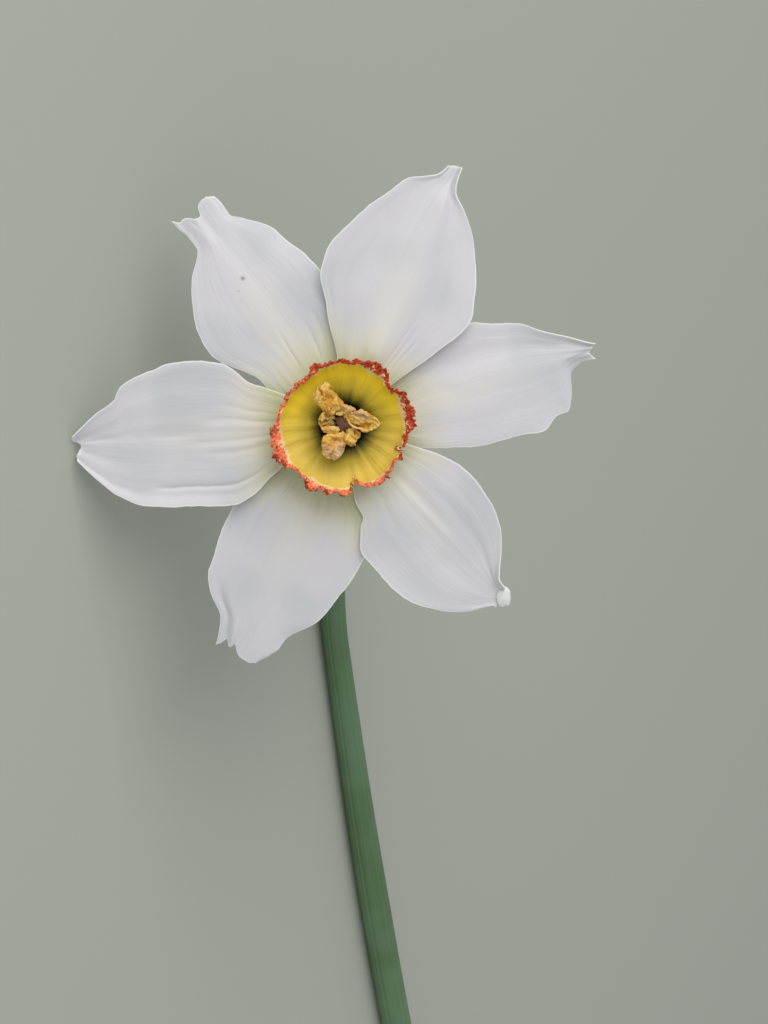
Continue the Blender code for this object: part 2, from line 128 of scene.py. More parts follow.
def hump(offset: float, width: float) -> float:
    """A smooth bump of height 1 round offset 0."""
    return math.exp(-(offset / width) ** 2)


def ripple(*place: float) -> float:
    """Smooth seeded noise between about -1 and 1 at a place."""
    return noise.noise(Vector(place))


def stalk_frame() -> tuple[Vector, Vector, Vector]:
    """Directions of the stalk: along the stem, towards the lean, and to the side.

    Returns:
        The three unit vectors.
    """
    along = Vector((1.0, 0.0, 0.0))
    lean = Vector((0.0, math.sin(HEAD_LEAN), math.cos(HEAD_LEAN)))
    return along, lean, along.cross(lean)


def head_rotation() -> Matrix:
    """Turns the flower's own frame (right, top, axis) into the world's.

    Returns:
        The rotation, with right, top and axis as its columns.
    """
    along, lean, side = stalk_frame()
    axis = along * math.cos(HEAD_BEND) + lean * math.sin(HEAD_BEND)
    over = along * math.sin(HEAD_BEND) - lean * math.cos(HEAD_BEND)
    return Matrix((side, over, axis)).transposed() @ Matrix.Rotation(HEAD_TURN, 3, "Z")


def stalk_end() -> Vector:
    """From the stem's top to the stalk's own top, under the ovary."""
    along, lean, side = stalk_frame()
    return along * STALK_REACH + lean * STALK_RISE + side * STALK_SIDE


STEM_TOP = Vector((REST_POINT, 0.0, REST_HEIGHT))
HEAD_TURNED = head_rotation()
HEAD_ORIGIN = STEM_TOP + stalk_end() + HEAD_TURNED @ Vector((0.0, 0.0, NECK))
HEAD = Matrix.Translation(HEAD_ORIGIN) @ HEAD_TURNED.to_4x4()


# ---------------------------------------------------------------- meshes

@dataclass
class Skin:
    """A mesh in the making: its points, its faces and named values at its points."""

    points: list[Vector] = field(default_factory=list)
    faces: list[tuple[int, ...]] = field(default_factory=list)
    values: dict[str, list[float]] = field(default_factory=dict)

    def add(self, other: "Skin") -> None:
        """Takes in another skin's points, faces and values.

        Args:
            other: the skin, which has the same values by name.
        """
        first = len(self.points)
        self.points += other.points
        self.faces += [tuple(first + k for k in face) for face in other.faces]
        for name, numbers in other.values.items():
            self.values.setdefault(name, []).extend(numbers)

    def build(self, name: str, place: Matrix = Matrix.Identity(4)) -> bpy.types.Object:
        """Makes the object, with its place in its mesh and its faces turned outward.

        Args:
            name: the piece's name.
            place: turns the skin's own frame into the world's, in millimetres.

        Returns:
            The linked object, smooth shaded.
        """
        mesh = bpy.data.meshes.new(name)
        mesh.from_pydata([(place @ point) * MM for point in self.points], [], self.faces)
        for key, numbers in self.values.items():
            mesh.attributes.new(key, "FLOAT", "POINT").data.foreach_set("value", numbers)
        shape = bmesh.new()
        shape.from_mesh(mesh)
        bmesh.ops.recalc_face_normals(shape, faces=shape.faces)
        shape.to_mesh(mesh)
        shape.free()
        mesh.shade_smooth()
        made = bpy.data.objects.new(name, mesh)
        bpy.context.scene.collection.objects.link(made)
        return made


def grid_faces(rows: int, columns: int, first: int, wrap: bool) -> list[tuple[int, ...]]:
    """Four-sided faces over a grid of points.

    Args:
        rows: how many rows of points.
        columns: how many points in a row.
        first: index of the grid's first point.
        wrap: whether the last column meets the first one.

    Returns:
        The faces, by point index.
    """
    faces = []
    for i in range(rows - 1):
        for j in range(columns if wrap else columns - 1):
            a, b = first + i * columns + j, first + i * columns + (j + 1) % columns
            faces.append((a, b, b + columns, a + columns))
    return faces


def thin_solid(surface: Grid, thickness: Callable[[int, int], float], wrap: bool,
               values: dict[str, list[list[float]]]) -> Skin:
    """Gives a grid of points a thickness to both sides along its own normals.

    Args:
        surface: the middle surface, row by row.
        thickness: the thickness at a row and column.
        wrap: whether the last column meets the first one, as round a cup.
        values: named grids of numbers, stored at the points of both sides.

    Returns:
        A closed skin. Its value "front" is 1 on the first side and 0 on the other.
    """
    rows, columns = len(surface), len(surface[0])
    fronts, backs = [], []
    for i in range(rows):
        for j in range(columns):
            low, high = max(i - 1, 0), min(i + 1, rows - 1)
            left, right = max(j - 1, 0), min(j + 1, columns - 1)
            if wrap:
                left, right = (j - 1) % columns, (j + 1) % columns
            normal = (surface[high][j] - surface[low][j]).cross(
                surface[i][right] - surface[i][left]).normalized()
            half = thickness(i, j) / 2
            fronts.append(surface[i][j] + normal * half)
            backs.append(surface[i][j] - normal * half)
    count = rows * columns
    faces = grid_faces(rows, columns, 0, wrap)
    faces += [tuple(reversed(face)) for face in grid_faces(rows, columns, count, wrap)]
    for i in (0, rows - 1):
        for j in range(columns if wrap else columns - 1):
            a, b = i * columns + j, i * columns + (j + 1) % columns
            faces.append((a, b, b + count, a + count))
    if not wrap:
        for j in (0, columns - 1):
            for i in range(rows - 1):
                a, b = i * columns + j, (i + 1) * columns + j
                faces.append((a, b, b + count, a + count))
    stored = {name: [x for row in grid for x in row] * 2 for name, grid in values.items()}
    stored["front"] = [1.0] * count + [0.0] * count
    return Skin(fronts + backs, faces, stored)


def lofted(rings: Grid, values: dict[str, list[list[float]]]) -> Skin:
    """Joins rings of points into a closed skin, with a fan of faces over each end.

    Args:
        rings: rings with the same count of points.
        values: named grids of numbers, one for each ring's point.

    Returns:
        The closed skin.
    """
    rows, columns = len(rings), len(rings[0])
    points = [point for ring in rings for point in ring]
    stored = {name: [x for row in grid for x in row] for name, grid in values.items()}
    faces = grid_faces(rows, columns, 0, True)
    for end in (0, rows - 1):
        centre = sum(rings[end], Vector()) / columns
        points.append(centre)
        for name, grid in values.items():
            stored[name].append(sum(grid[end]) / columns)
        for j in range(columns):
            faces.append((end * columns + j, end * columns + (j + 1) % columns,
                          len(points) - 1))
    return Skin(points, faces, stored)


# ---------------------------------------------------------------- finishes

def linear(colour: str) -> Colour:
    """Turns an sRGB hex value into linear red, green, blue and alpha.

    Args:
        colour: such as #DAD9DE.

    Returns:
        The linear colour, with an alpha of 1.
    """
    parts = [int(colour[k:k + 2], 16) / 255 for k in (1, 3, 5)]
    return (*(part / 12.92 if part <= 0.04045 else ((part + 0.055) / 1.055) ** 2.4
              for part in parts), 1.0)


def add_node(tree: bpy.types.NodeTree, kind: str, inputs: dict | None = None,
             **settings) -> bpy.types.Node:
    """Adds a node with its settings, values and links.

    Args:
        tree: the tree it goes into.
        kind: the node's type.
        inputs: by name or index, either a value or the output socket to link from.
        settings: the node's own properties.

    Returns:
        The node.
    """
    node = tree.nodes.new(kind)
    for key, value in settings.items():
        setattr(node, key, value)
    for key, value in (inputs or {}).items():
        if isinstance(value, bpy.types.NodeSocket):
            tree.links.new(value, node.inputs[key])
        else:
            node.inputs[key].default_value = value
    return node


@dataclass(frozen=True)
class Finish:
    """A surface as a Principled material, which each kind of finish paints in its own way."""

    name: str
    roughness: float = 0.6
    specular: float = 0.3
    subsurface: float = 0.0
    sheen: float = 0.0

    def build(self) -> bpy.types.Material:
        """Makes the material once and returns it.

        Returns:
            The material, the same one each time.
        """
        if self.name in bpy.data.materials:
            return bpy.data.materials[self.name]
        made = bpy.data.materials.new(self.name)
        made.use_nodes = True
        tree = made.node_tree
        shader = tree.nodes["Principled BSDF"]
        shader.inputs["Roughness"].default_value = self.roughness
        shader.inputs["Specular IOR Level"].default_value = self.specular
        shader.inputs["Subsurface Weight"].default_value = self.subsurface
        shader.inputs["Subsurface Radius"].default_value = (1.0, 0.9, 0.8)
        shader.inputs["Subsurface Scale"].default_value = 0.6 * MM
        shader.inputs["Sheen Weight"].default_value = self.sheen
        self.paint(tree, shader)
        return made

    def paint(self, tree: bpy.types.NodeTree, shader: bpy.types.Node) -> None:
        """Links the surface's colour and relief to the shader.

        Args:
            tree: the material's node tree.
            shader: its Principled node.
        """
        raise NotImplementedError

    @staticmethod
    def value(tree: bpy.types.NodeTree, name: str) -> bpy.types.NodeSocket:
        """The number stored at the piece's points under a name."""
        return add_node(tree, "ShaderNodeAttribute", attribute_name=name).outputs["Fac"]

    @staticmethod
    def ramp(tree: bpy.types.NodeTree, value: bpy.types.NodeSocket, low: float, high: float,
             start: float = 0.0, end: float = 1.0) -> bpy.types.NodeSocket:
        """Runs smoothly from start to end as the value goes from low to high.

        Args:
            tree: the tree it goes into.
            value: what it follows.
            low: the value that gives the start.
            high: the value that gives the end.
            start: the result at and below low.
            end: the result at and above high.

        Returns:
            The socket with the result.
        """
        return add_node(tree, "ShaderNodeMapRange", {
            "Value": value, "From Min": low, "From Max": high, "To Min": start, "To Max": end,
        }, interpolation_type="SMOOTHSTEP").outputs["Result"]

    @staticmethod
    def maths(tree: bpy.types.NodeTree, operation: str,
              *terms: bpy.types.NodeSocket | float) -> bpy.types.NodeSocket:
        """The result of one arithmetic operation."""
        return add_node(tree, "ShaderNodeMath", dict(enumerate(terms)),
                        operation=operation).outputs[0]

    @staticmethod
    def lay(tree: bpy.types.NodeTree, under: bpy.types.NodeSocket | Colour,
            over: bpy.types.NodeSocket | Colour,
            share: bpy.types.NodeSocket) -> bpy.types.NodeSocket:
        """Lays a colour over another by a share and returns the colour socket.

        Args:
            tree: the tree it goes into.
            under: the lower colour.
            over: the upper colour.
            share: 0 shows the lower one and 1 the upper one.

        Returns:
            The socket with the colour.
        """
        node = add_node(tree, "ShaderNodeMix", {"Factor": share}, data_type="RGBA")
        for key, colour in (("A", under), ("B", over)):
            socket = next(s for s in node.inputs if s.name == key and s.type == "RGBA")
            if isinstance(colour, bpy.types.NodeSocket):
                tree.links.new(colour, socket)
            else:
                socket.default_value = colour
        return next(s for s in node.outputs if s.type == "RGBA")

    @staticmethod
    def grain(tree: bpy.types.NodeTree, place: bpy.types.NodeSocket, scale: float,
              detail: float = 2.0, roughness: float = 0.5) -> bpy.types.NodeSocket:
        """Noise between 0 and 1 at a place.

        Args:
            tree: the tree it goes into.
            place: where to read it.
            scale: how many grains there are to one unit of the place.
            detail: how many finer layers are added.
            roughness: how strong the finer layers are.

        Returns:
            The socket with the number.
        """
        return add_node(tree, "ShaderNodeTexNoise", {
            "Vector": place, "Scale": scale, "Detail": detail, "Roughness": roughness,
        }).outputs["Fac"]

    @staticmethod
    def relief(tree: bpy.types.NodeTree, shader: bpy.types.Node,
               height: bpy.types.NodeSocket, depth: float, strength: float = 1.0) -> None:
        """Bumps the shader's normal by a height, with the relief's depth in millimetres.

        Args:
            tree: the material's node tree.
            shader: its Principled node.
            height: the socket with the height, about 0 to 1.
            depth: how deep the relief is, in millimetres.
            strength: how much of it shows.
        """
        bump = add_node(tree, "ShaderNodeBump", {
            "Height": height, "Distance": depth * MM, "Strength": strength})
        tree.links.new(bump.outputs["Normal"], shader.inputs["Normal"])

    @staticmethod
    def object_place(tree: bpy.types.NodeTree) -> bpy.types.NodeSocket:
        """Object coordinates, in metres."""
        return add_node(tree, "ShaderNodeTexCoord").outputs["Object"]


@dataclass(frozen=True)
class TepalTissue(Finish):
    """Petal tissue: soft and matt, nearly white, with lengthwise veins under a thin skin.

    It is cream and green at the foot, where the tube's green shows through. On the lower tepals that green
    and cream reach further out, as painted shade from the cup.
    """

    white: str = "#DAD9DE"
    cool: str = "#CFD1D6"
    warm: str = "#E2E0DC"
    cream: str = "#DEDCC6"
    foot: str = "#C3C6A0"
    edge: str = "#F6F9F1"
    vein: str = "#C4C3C9"
    speck: str = "#7C7F78"

    def paint(self, tree: bpy.types.NodeTree, shader: bpy.types.Node) -> None:
        """Links the tissue's colour and relief to the shader.

        Args:
            tree: the material's node tree.
            shader: its Principled node.
        """
        along, across = self.value(tree, "along"), self.value(tree, "across")
        reach = self.value(tree, "reach")
        place = add_node(tree, "ShaderNodeCombineXYZ", {
            "X": self.maths(tree, "MULTIPLY", across, 9.0),
            "Y": self.maths(tree, "MULTIPLY", along, 1.5),
            "Z": self.value(tree, "seed")}).outputs["Vector"]
        streak = self.grain(tree, place, 1.0, 3.0, 0.6)
        fine = self.grain(tree, place, 3.2, 2.0, 0.5)
        cloud = self.grain(tree, self.object_place(tree), 110.0, 1.0)
        middle = self.ramp(tree, self.maths(tree, "ABSOLUTE", across), 0.0, 0.5, 1.0, 0.0)
        colour = self.lay(tree, linear(self.white), linear(self.cool),
                          self.ramp(tree, cloud, 0.45, 0.7))
        warmth = self.maths(tree, "MULTIPLY", middle, self.ramp(tree, along, 0.3, 0.85, 0.9, 0.0))
        colour = self.lay(tree, colour, linear(self.warm), warmth)
        colour = self.lay(tree, colour, linear(self.vein), self.ramp(tree, streak, 0.5, 0.8, 0.0, 0.24))
        uneven = self.maths(tree, "MULTIPLY", self.maths(tree, "SUBTRACT", streak, 0.5), 5.0)
        from_axis = self.maths(tree, "ADD", reach, uneven)
        colour = self.lay(tree, colour, linear(self.cream), self.ramp(tree, from_axis, 6.8, 12.2, 0.78, 0.0))
        colour = self.lay(tree, colour, linear(self.foot), self.ramp(tree, from_axis, 5.0, 9.0, 0.9, 0.0))
        # Painted highlight: the thin margins and the very tip are lightened towards the edge colour, where
        # they catch the light.
        colour = self.lay(tree, colour, linear(self.edge), self.value(tree, "margin"))
        colour = self.lay(tree, colour, linear(self.speck), self.value(tree, "speck"))
        tree.links.new(colour, shader.inputs["Base Color"])
        self.relief(tree, shader, self.maths(tree, "ADD", streak, fine), 0.022)


@dataclass(frozen=True)
class CoronaTissue(Finish):
    """The cup's tissue: nearly black green in the throat, golden on the wall, coral at the rim.

    The wall is a deeper, brighter gold towards the flower's top, partly its own tone and partly painted light
    against the top wall's shade, and greener below. A row of pale teeth parts it from the rim, which is brick
    red towards the flower's top and right as painted shade, and on its flakes also where it is narrow.
    """

    throat: str = "#141A08"
    deep: str = "#5E5A0E"
    olive: str = "#BCA62C"
    gold: str = "#FADA32"
    yellow: str = "#E2C450"
    pale: str = "#F6DDAC"
    rim: str = "#FF8A5E"
    shaded_rim: str = "#D2502A"
    crevice_shade: str = "#7E2410"
    outside: str = "#D8D08C"

    def paint(self, tree: bpy.types.NodeTree, shader: bpy.types.Node) -> None:
        """Links the tissue's colour and relief to the shader.

        Args:
            tree: the material's node tree.
            shader: its Principled node.
        """
        share, band = self.value(tree, "share"), self.value(tree, "band")
        up = self.value(tree, "ray_y")
        ray = add_node(tree, "ShaderNodeCombineXYZ", {
            "X": self.value(tree, "ray_x"), "Y": up,
            "Z": self.maths(tree, "MULTIPLY", share, 0.1)}).outputs["Vector"]
        streak = self.grain(tree, ray, 15.0, 3.0, 0.6)
        teeth = self.grain(tree, ray, 34.0, 2.0, 0.7)
        patch = self.grain(tree, ray, 2.3, 1.0)
        crumb = self.grain(tree, self.object_place(tree), 2600.0, 2.0, 0.6)
        # Partly painted light: brighter gold towards the flower's top, against the shade on the top wall.
        wall = self.lay(tree, linear(self.yellow), linear(self.gold), self.ramp(tree, up, -0.3, 0.6))
        uneven = self.maths(tree, "ADD", share, self.maths(
            tree, "MULTIPLY", self.maths(tree, "SUBTRACT", streak, 0.5), 0.16))
        uneven = self.maths(tree, "ADD", uneven, self.maths(
            tree, "MULTIPLY", self.maths(tree, "SUBTRACT", patch, 0.5), 0.3))
        colour = self.lay(tree, linear(self.throat), linear(self.deep), self.ramp(tree, uneven, 0.08, 0.25))
        colour = self.lay(tree, colour, linear(self.olive), self.ramp(tree, uneven, 0.18, 0.4))
        colour = self.lay(tree, colour, wall, self.ramp(tree, uneven, 0.3, 0.64))
        colour = self.lay(tree, colour, linear(self.deep), self.ramp(tree, streak, 0.55, 0.8, 0.0, 0.3))
        outer = self.lay(tree, linear(self.outside), linear(self.yellow), self.ramp(tree, share, 0.1, 0.7))
        colour = self.lay(tree, outer, colour, self.value(tree, "front"))
        ragged = self.maths(tree, "ADD", band, self.maths(
            tree, "MULTIPLY", self.maths(tree, "SUBTRACT", teeth, 0.5), 1.1))
        colour = self.lay(tree, colour, linear(self.pale), self.ramp(tree, ragged, 1.6, 1.25, 0.0, 0.85))
        # Painted shade: the rim turns brick red towards the flower's top and right.
        lean = self.maths(tree, "ADD", self.value(tree, "ray_x"), up)
        red = self.lay(tree, linear(self.rim), linear(self.shaded_rim), self.ramp(tree, lean, -0.4, 0.9))
        # Painted shade: scattered dark maroon specks stand for the crevices of the crisped rim.
        red = self.lay(tree, red, linear(self.crevice_shade), self.ramp(tree, crumb, 0.56, 0.7, 0.0, 0.8))
        colour = self.lay(tree, colour, red, self.ramp(tree, ragged, 1.08, 0.95))
        tree.links.new(colour, shader.inputs["Base Color"])
        self.relief(tree, shader, self.maths(tree, "ADD", streak, self.maths(
            tree, "MULTIPLY", crumb, 0.3)), 0.1)


@dataclass(frozen=True)
class FrillTissue(Finish):
    """The crisped flakes of the cup's rim.

    They are coral on the flower's lower left half and brick red on its top and right half, which is painted
    shade, and brick red where the rim is narrow; dark along the very edge, and the ones that stand on the
    wall are pale peach.
    """

    coral: str = "#FF8A58"
    brick: str = "#C64426"
    shade: str = "#7A2410"
    peach: str = "#F8CC9C"

    def paint(self, tree: bpy.types.NodeTree, shader: bpy.types.Node) -> None:
        """Links the tissue's colour and relief to the shader.

        Args:
            tree: the material's node tree.
            shader: its Principled node.
        """
        place = self.object_place(tree)
        patch = self.grain(tree, place, 420.0, 1.0)
        crumb = self.grain(tree, place, 1300.0, 2.0, 0.7)
        # Painted shade: the flakes turn brick red towards the flower's top and right; random patches and
        # narrow stretches of rim shift the share.
        lean = self.maths(tree, "ADD", self.value(tree, "ray_x"), self.value(tree, "ray_y"))
        lean = self.maths(tree, "MULTIPLY_ADD", self.maths(tree, "SUBTRACT", patch, 0.5), 5.0, lean)
        lean = self.maths(tree, "MULTIPLY_ADD", self.value(tree, "width"), -2.0, self.maths(
            tree, "ADD", lean, 1.7))
        colour = self.lay(tree, linear(self.coral), linear(self.brick), self.ramp(tree, lean, -0.4, 0.9))
        in_band = self.maths(tree, "MULTIPLY_ADD", self.maths(tree, "SUBTRACT", crumb, 0.5), 1.6,
                             self.value(tree, "band"))
        colour = self.lay(tree, colour, linear(self.shade), self.ramp(tree, in_band, 0.3, 0.02, 0.0, 0.85))
        colour = self.lay(tree, colour, linear(self.peach), self.ramp(tree, in_band, 0.52, 0.68, 0.0, 0.95))
        tree.links.new(colour, shader.inputs["Base Color"])
        self.relief(tree, shader, crumb, 0.1)


@dataclass(frozen=True)
class AntherHusk(Finish):
    """A dried anther: papery husk, ochre to straw and pitted, darker in its hollows as painted shade, pale at
    its curled lips, and with a painted highlight along its folds' crests.
    """

    ochre: str = "#D69C34"
    straw: str = "#ECC566"
    bare: str = "#DDB896"
    hollow_shade: str = "#8A5E1A"
    lip_and_crest_highlight: str = "#F6DDA0"

    def paint(self, tree: bpy.types.NodeTree, shader: bpy.types.Node) -> None:
        """Links the tissue's colour and relief to the shader.

        Args:
            tree: the material's node tree.
            shader: its Principled node.
        """
        place = self.object_place(tree)
        blotch = self.grain(tree, place, 700.0, 2.0)
        grit = self.grain(tree, place, 3600.0, 3.0, 0.6)
        colour = self.lay(tree, linear(self.ochre), linear(self.straw), self.ramp(tree, blotch, 0.42, 0.6))
        colour = self.lay(tree, colour, linear(self.bare), self.value(tree, "bare"))
        # Painted shade in the hollows between the crumples, broken by a grain.
        hollow_shades = self.maths(tree, "MULTIPLY", self.value(tree, "hollow_shade"), self.ramp(tree, grit, 0.4, 0.55))
        colour = self.lay(tree, colour, linear(self.hollow_shade), hollow_shades)
        # Pale at the curled lips, their own colour, and along the folds' crests, a painted highlight.
        colour = self.lay(tree, colour, linear(self.lip_and_crest_highlight), self.value(tree, "lip_and_crest_highlight"))
        tree.links.new(colour, shader.inputs["Base Color"])
        self.relief(tree, shader, self.maths(tree, "ADD", grit, blotch), 0.07)


@dataclass(frozen=True)
class PlainTissue(Finish):
    """Tissue of one colour that turns into another along the piece, with a fine grain."""

    start: str = "#8FA05A"
    end: str = "#C9CDB4"
    shade: str = "#5C6E34"
    grain_size: float = 0.5

    def paint(self, tree: bpy.types.NodeTree, shader: bpy.types.Node) -> None:
        """Links the tissue's colour and relief to the shader.

        Args:
            tree: the material's node tree.
            shader: its Principled node.
        """
        grain = self.grain(tree, self.object_place(tree), 1 / (self.grain_size * MM), 3.0)
        colour = self.lay(tree, linear(self.start), linear(self.end), self.value(tree, "turn"))
        colour = self.lay(tree, colour, linear(self.shade), self.ramp(tree, grain, 0.45, 0.75, 0.0, 0.5))
        tree.links.new(colour, shader.inputs["Base Color"])
        self.relief(tree, shader, grain, 0.05)


@dataclass(frozen=True)
class ScapeSkin(Finish):
    """The stem's skin: green under a bluish wax bloom, with fine lengthwise ribs."""

    green: str = "#58764F"
    bloom: str = "#658463"
    rib: str = "#7C9C76"
    cut: str = "#B7C48E"

    def paint(self, tree: bpy.types.NodeTree, shader: bpy.types.Node) -> None:
        """Links the tissue's colour and relief to the shader.

        Args:
            tree: the material's node tree.
            shader: its Principled node.
        """
        girth = self.maths(tree, "MULTIPLY", self.value(tree, "girth"), 2 * math.pi)
        place = add_node(tree, "ShaderNodeCombineXYZ", {
            "X": self.maths(tree, "COSINE", girth), "Y": self.maths(tree, "SINE", girth),
            "Z": self.maths(tree, "MULTIPLY", self.value(tree, "run"), 0.012)}).outputs["Vector"]
        line = self.grain(tree, place, 7.0, 3.0, 0.6)
        wax = self.grain(tree, self.object_place(tree), 70.0, 2.0)
        colour = self.lay(tree, linear(self.green), linear(self.bloom), self.ramp(tree, wax, 0.35, 0.62))
        colour = self.lay(tree, colour, linear(self.rib), self.ramp(tree, line, 0.5, 0.7, 0.0, 0.45))
        colour = self.lay(tree, colour, linear(self.cut), self.value(tree, "cut"))
        tree.links.new(colour, shader.inputs["Base Color"])
        self.relief(tree, shader, line, 0.08)


@dataclass(frozen=True)
class SpathePaper(Finish):
    """The withered bract: thin brown paper with darker lengthwise veins."""

    paper: str = "#A98B62"
    pale: str = "#CDB892"
    vein: str = "#6B4D2C"

    def paint(self, tree: bpy.types.NodeTree, shader: bpy.types.Node) -> None:
        """Links the tissue's colour and relief to the shader.

        Args:
            tree: the material's node tree.
            shader: its Principled node.
        """
        place = add_node(tree, "ShaderNodeCombineXYZ", {
            "X": self.maths(tree, "MULTIPLY", self.value(tree, "across"), 8.0),
            "Y": self.maths(tree, "MULTIPLY", self.value(tree, "along"), 1.2)}).outputs["Vector"]
        vein = self.grain(tree, place, 1.0, 3.0, 0.6)
        cloud = self.grain(tree, self.object_place(tree), 220.0, 2.0)
        colour = self.lay(tree, linear(self.paper), linear(self.pale), self.ramp(tree, cloud, 0.4, 0.65))
        colour = self.lay(tree, colour, linear(self.vein), self.ramp(tree, vein, 0.5, 0.68, 0.0, 0.8))
        tree.links.new(colour, shader.inputs["Base Color"])
        self.relief(tree, shader, vein, 0.15)


@dataclass(frozen=True)
class StudioFloor(Finish):
    """Plain pale paper, matt and seamless."""

    paper: str = "#B9BDB2"

    def paint(self, tree: bpy.types.NodeTree, shader: bpy.types.Node) -> None:
        """Sets the paper's one colour on the shader, and adds nothing to the tree."""
        shader.inputs["Base Color"].default_value = linear(self.paper)


TEPAL_TISSUE = TepalTissue("petal_tissue", roughness=0.55, specular=0.3, subsurface=0.25, sheen=0.1)
CORONA_TISSUE = CoronaTissue("corona_tissue", roughness=0.5, specular=0.35, subsurface=0.1)
FRILL_TISSUE = FrillTissue("crisped_rim", roughness=0.55, specular=0.3)
ANTHER_HUSK = AntherHusk("dried_anther_husk", roughness=0.65, specular=0.25)
POLLEN = PlainTissue("pollen_grains", roughness=0.8, start="#E8C25A", end="#F3DC93",
                     shade="#B98A2C", grain_size=0.1)
FILAMENT = PlainTissue("filament_tissue", start="#9DA35C", end="#C9BE7C", shade="#6C7434")
STIGMA = PlainTissue("stigma_tissue", roughness=0.8, start="#8B9A52", end="#6C4A36",
                     shade="#341C12", grain_size=0.3)
TUBE_TISSUE = PlainTissue("tube_tissue", roughness=0.5, start="#6F8B45", end="#AFC07C",
                          shade="#5B7436", grain_size=0.6)
# Painted shade: the throat's lining is near black, darker deeper down.
THROAT_SHADE_LINING = PlainTissue("throat_shade_lining", roughness=0.6, start="#10180A", end="#1E2A0C",
                            shade="#080C04", grain_size=0.4)
SCAPE_SKIN = ScapeSkin("stem_skin", roughness=0.5, specular=0.3)
SPATHE_PAPER = SpathePaper("withered_bract_paper", roughness=0.75, specular=0.2)
STUDIO_FLOOR = StudioFloor("studio_paper", roughness=0.9, specular=0.1)


def settle(piece: bpy.types.Object, finish: Finish, slot: str, *nodes: str) -> bpy.types.Object:
    """Gives a piece its finish, hangs it under the root body and hides the solids that it replaces.

    Args:
        piece: the finished piece.
        finish: its material, which its node tree may have set already.
        slot: the record's material slot it belongs to. Not used.
        nodes: the solids that it replaces.

    Returns:
        The piece.
    """
    if not piece.data.materials:
        piece.data.materials.append(finish.build())
    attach(piece, "root")
    if nodes:
        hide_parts(*nodes)
    log.info("%s: %d points, %s", piece.name, len(piece.data.vertices), finish.name)
    return piece


# ---------------------------------------------------------------- tepals

class Whorl(Enum):
    """The two circles of tepals, by their height over the tepals' plane."""

    INNER = 0.95
    OUTER = -0.5


@dataclass(frozen=True)
class Fold:
    """A ridge or a furrow that runs along a tepal.

    Its line goes from foot to tip, as shares of the half width; it fades in at start and out
    at end, as shares of the length. A furrow's height is negative.
    """

    foot: float
    tip: float
    start: float
    end: float
    height: float
    width: float

    def at(self, u: float, v: float) -> float:
        """The fold's height at a point of the tepal.

        Args:
            u: place along the tepal, 0 at its foot and 1 at its tip.
            v: place across it, -1 to 1.

        Returns:
            The height, below 0 for a furrow.
        """
        line = self.foot + (self.tip - self.foot) * u
        fade = step(self.start, self.start + 0.12, u) * (1 - step(self.end - 0.12, self.end, u))
        return self.height * fade * hump(v - line, self.width)


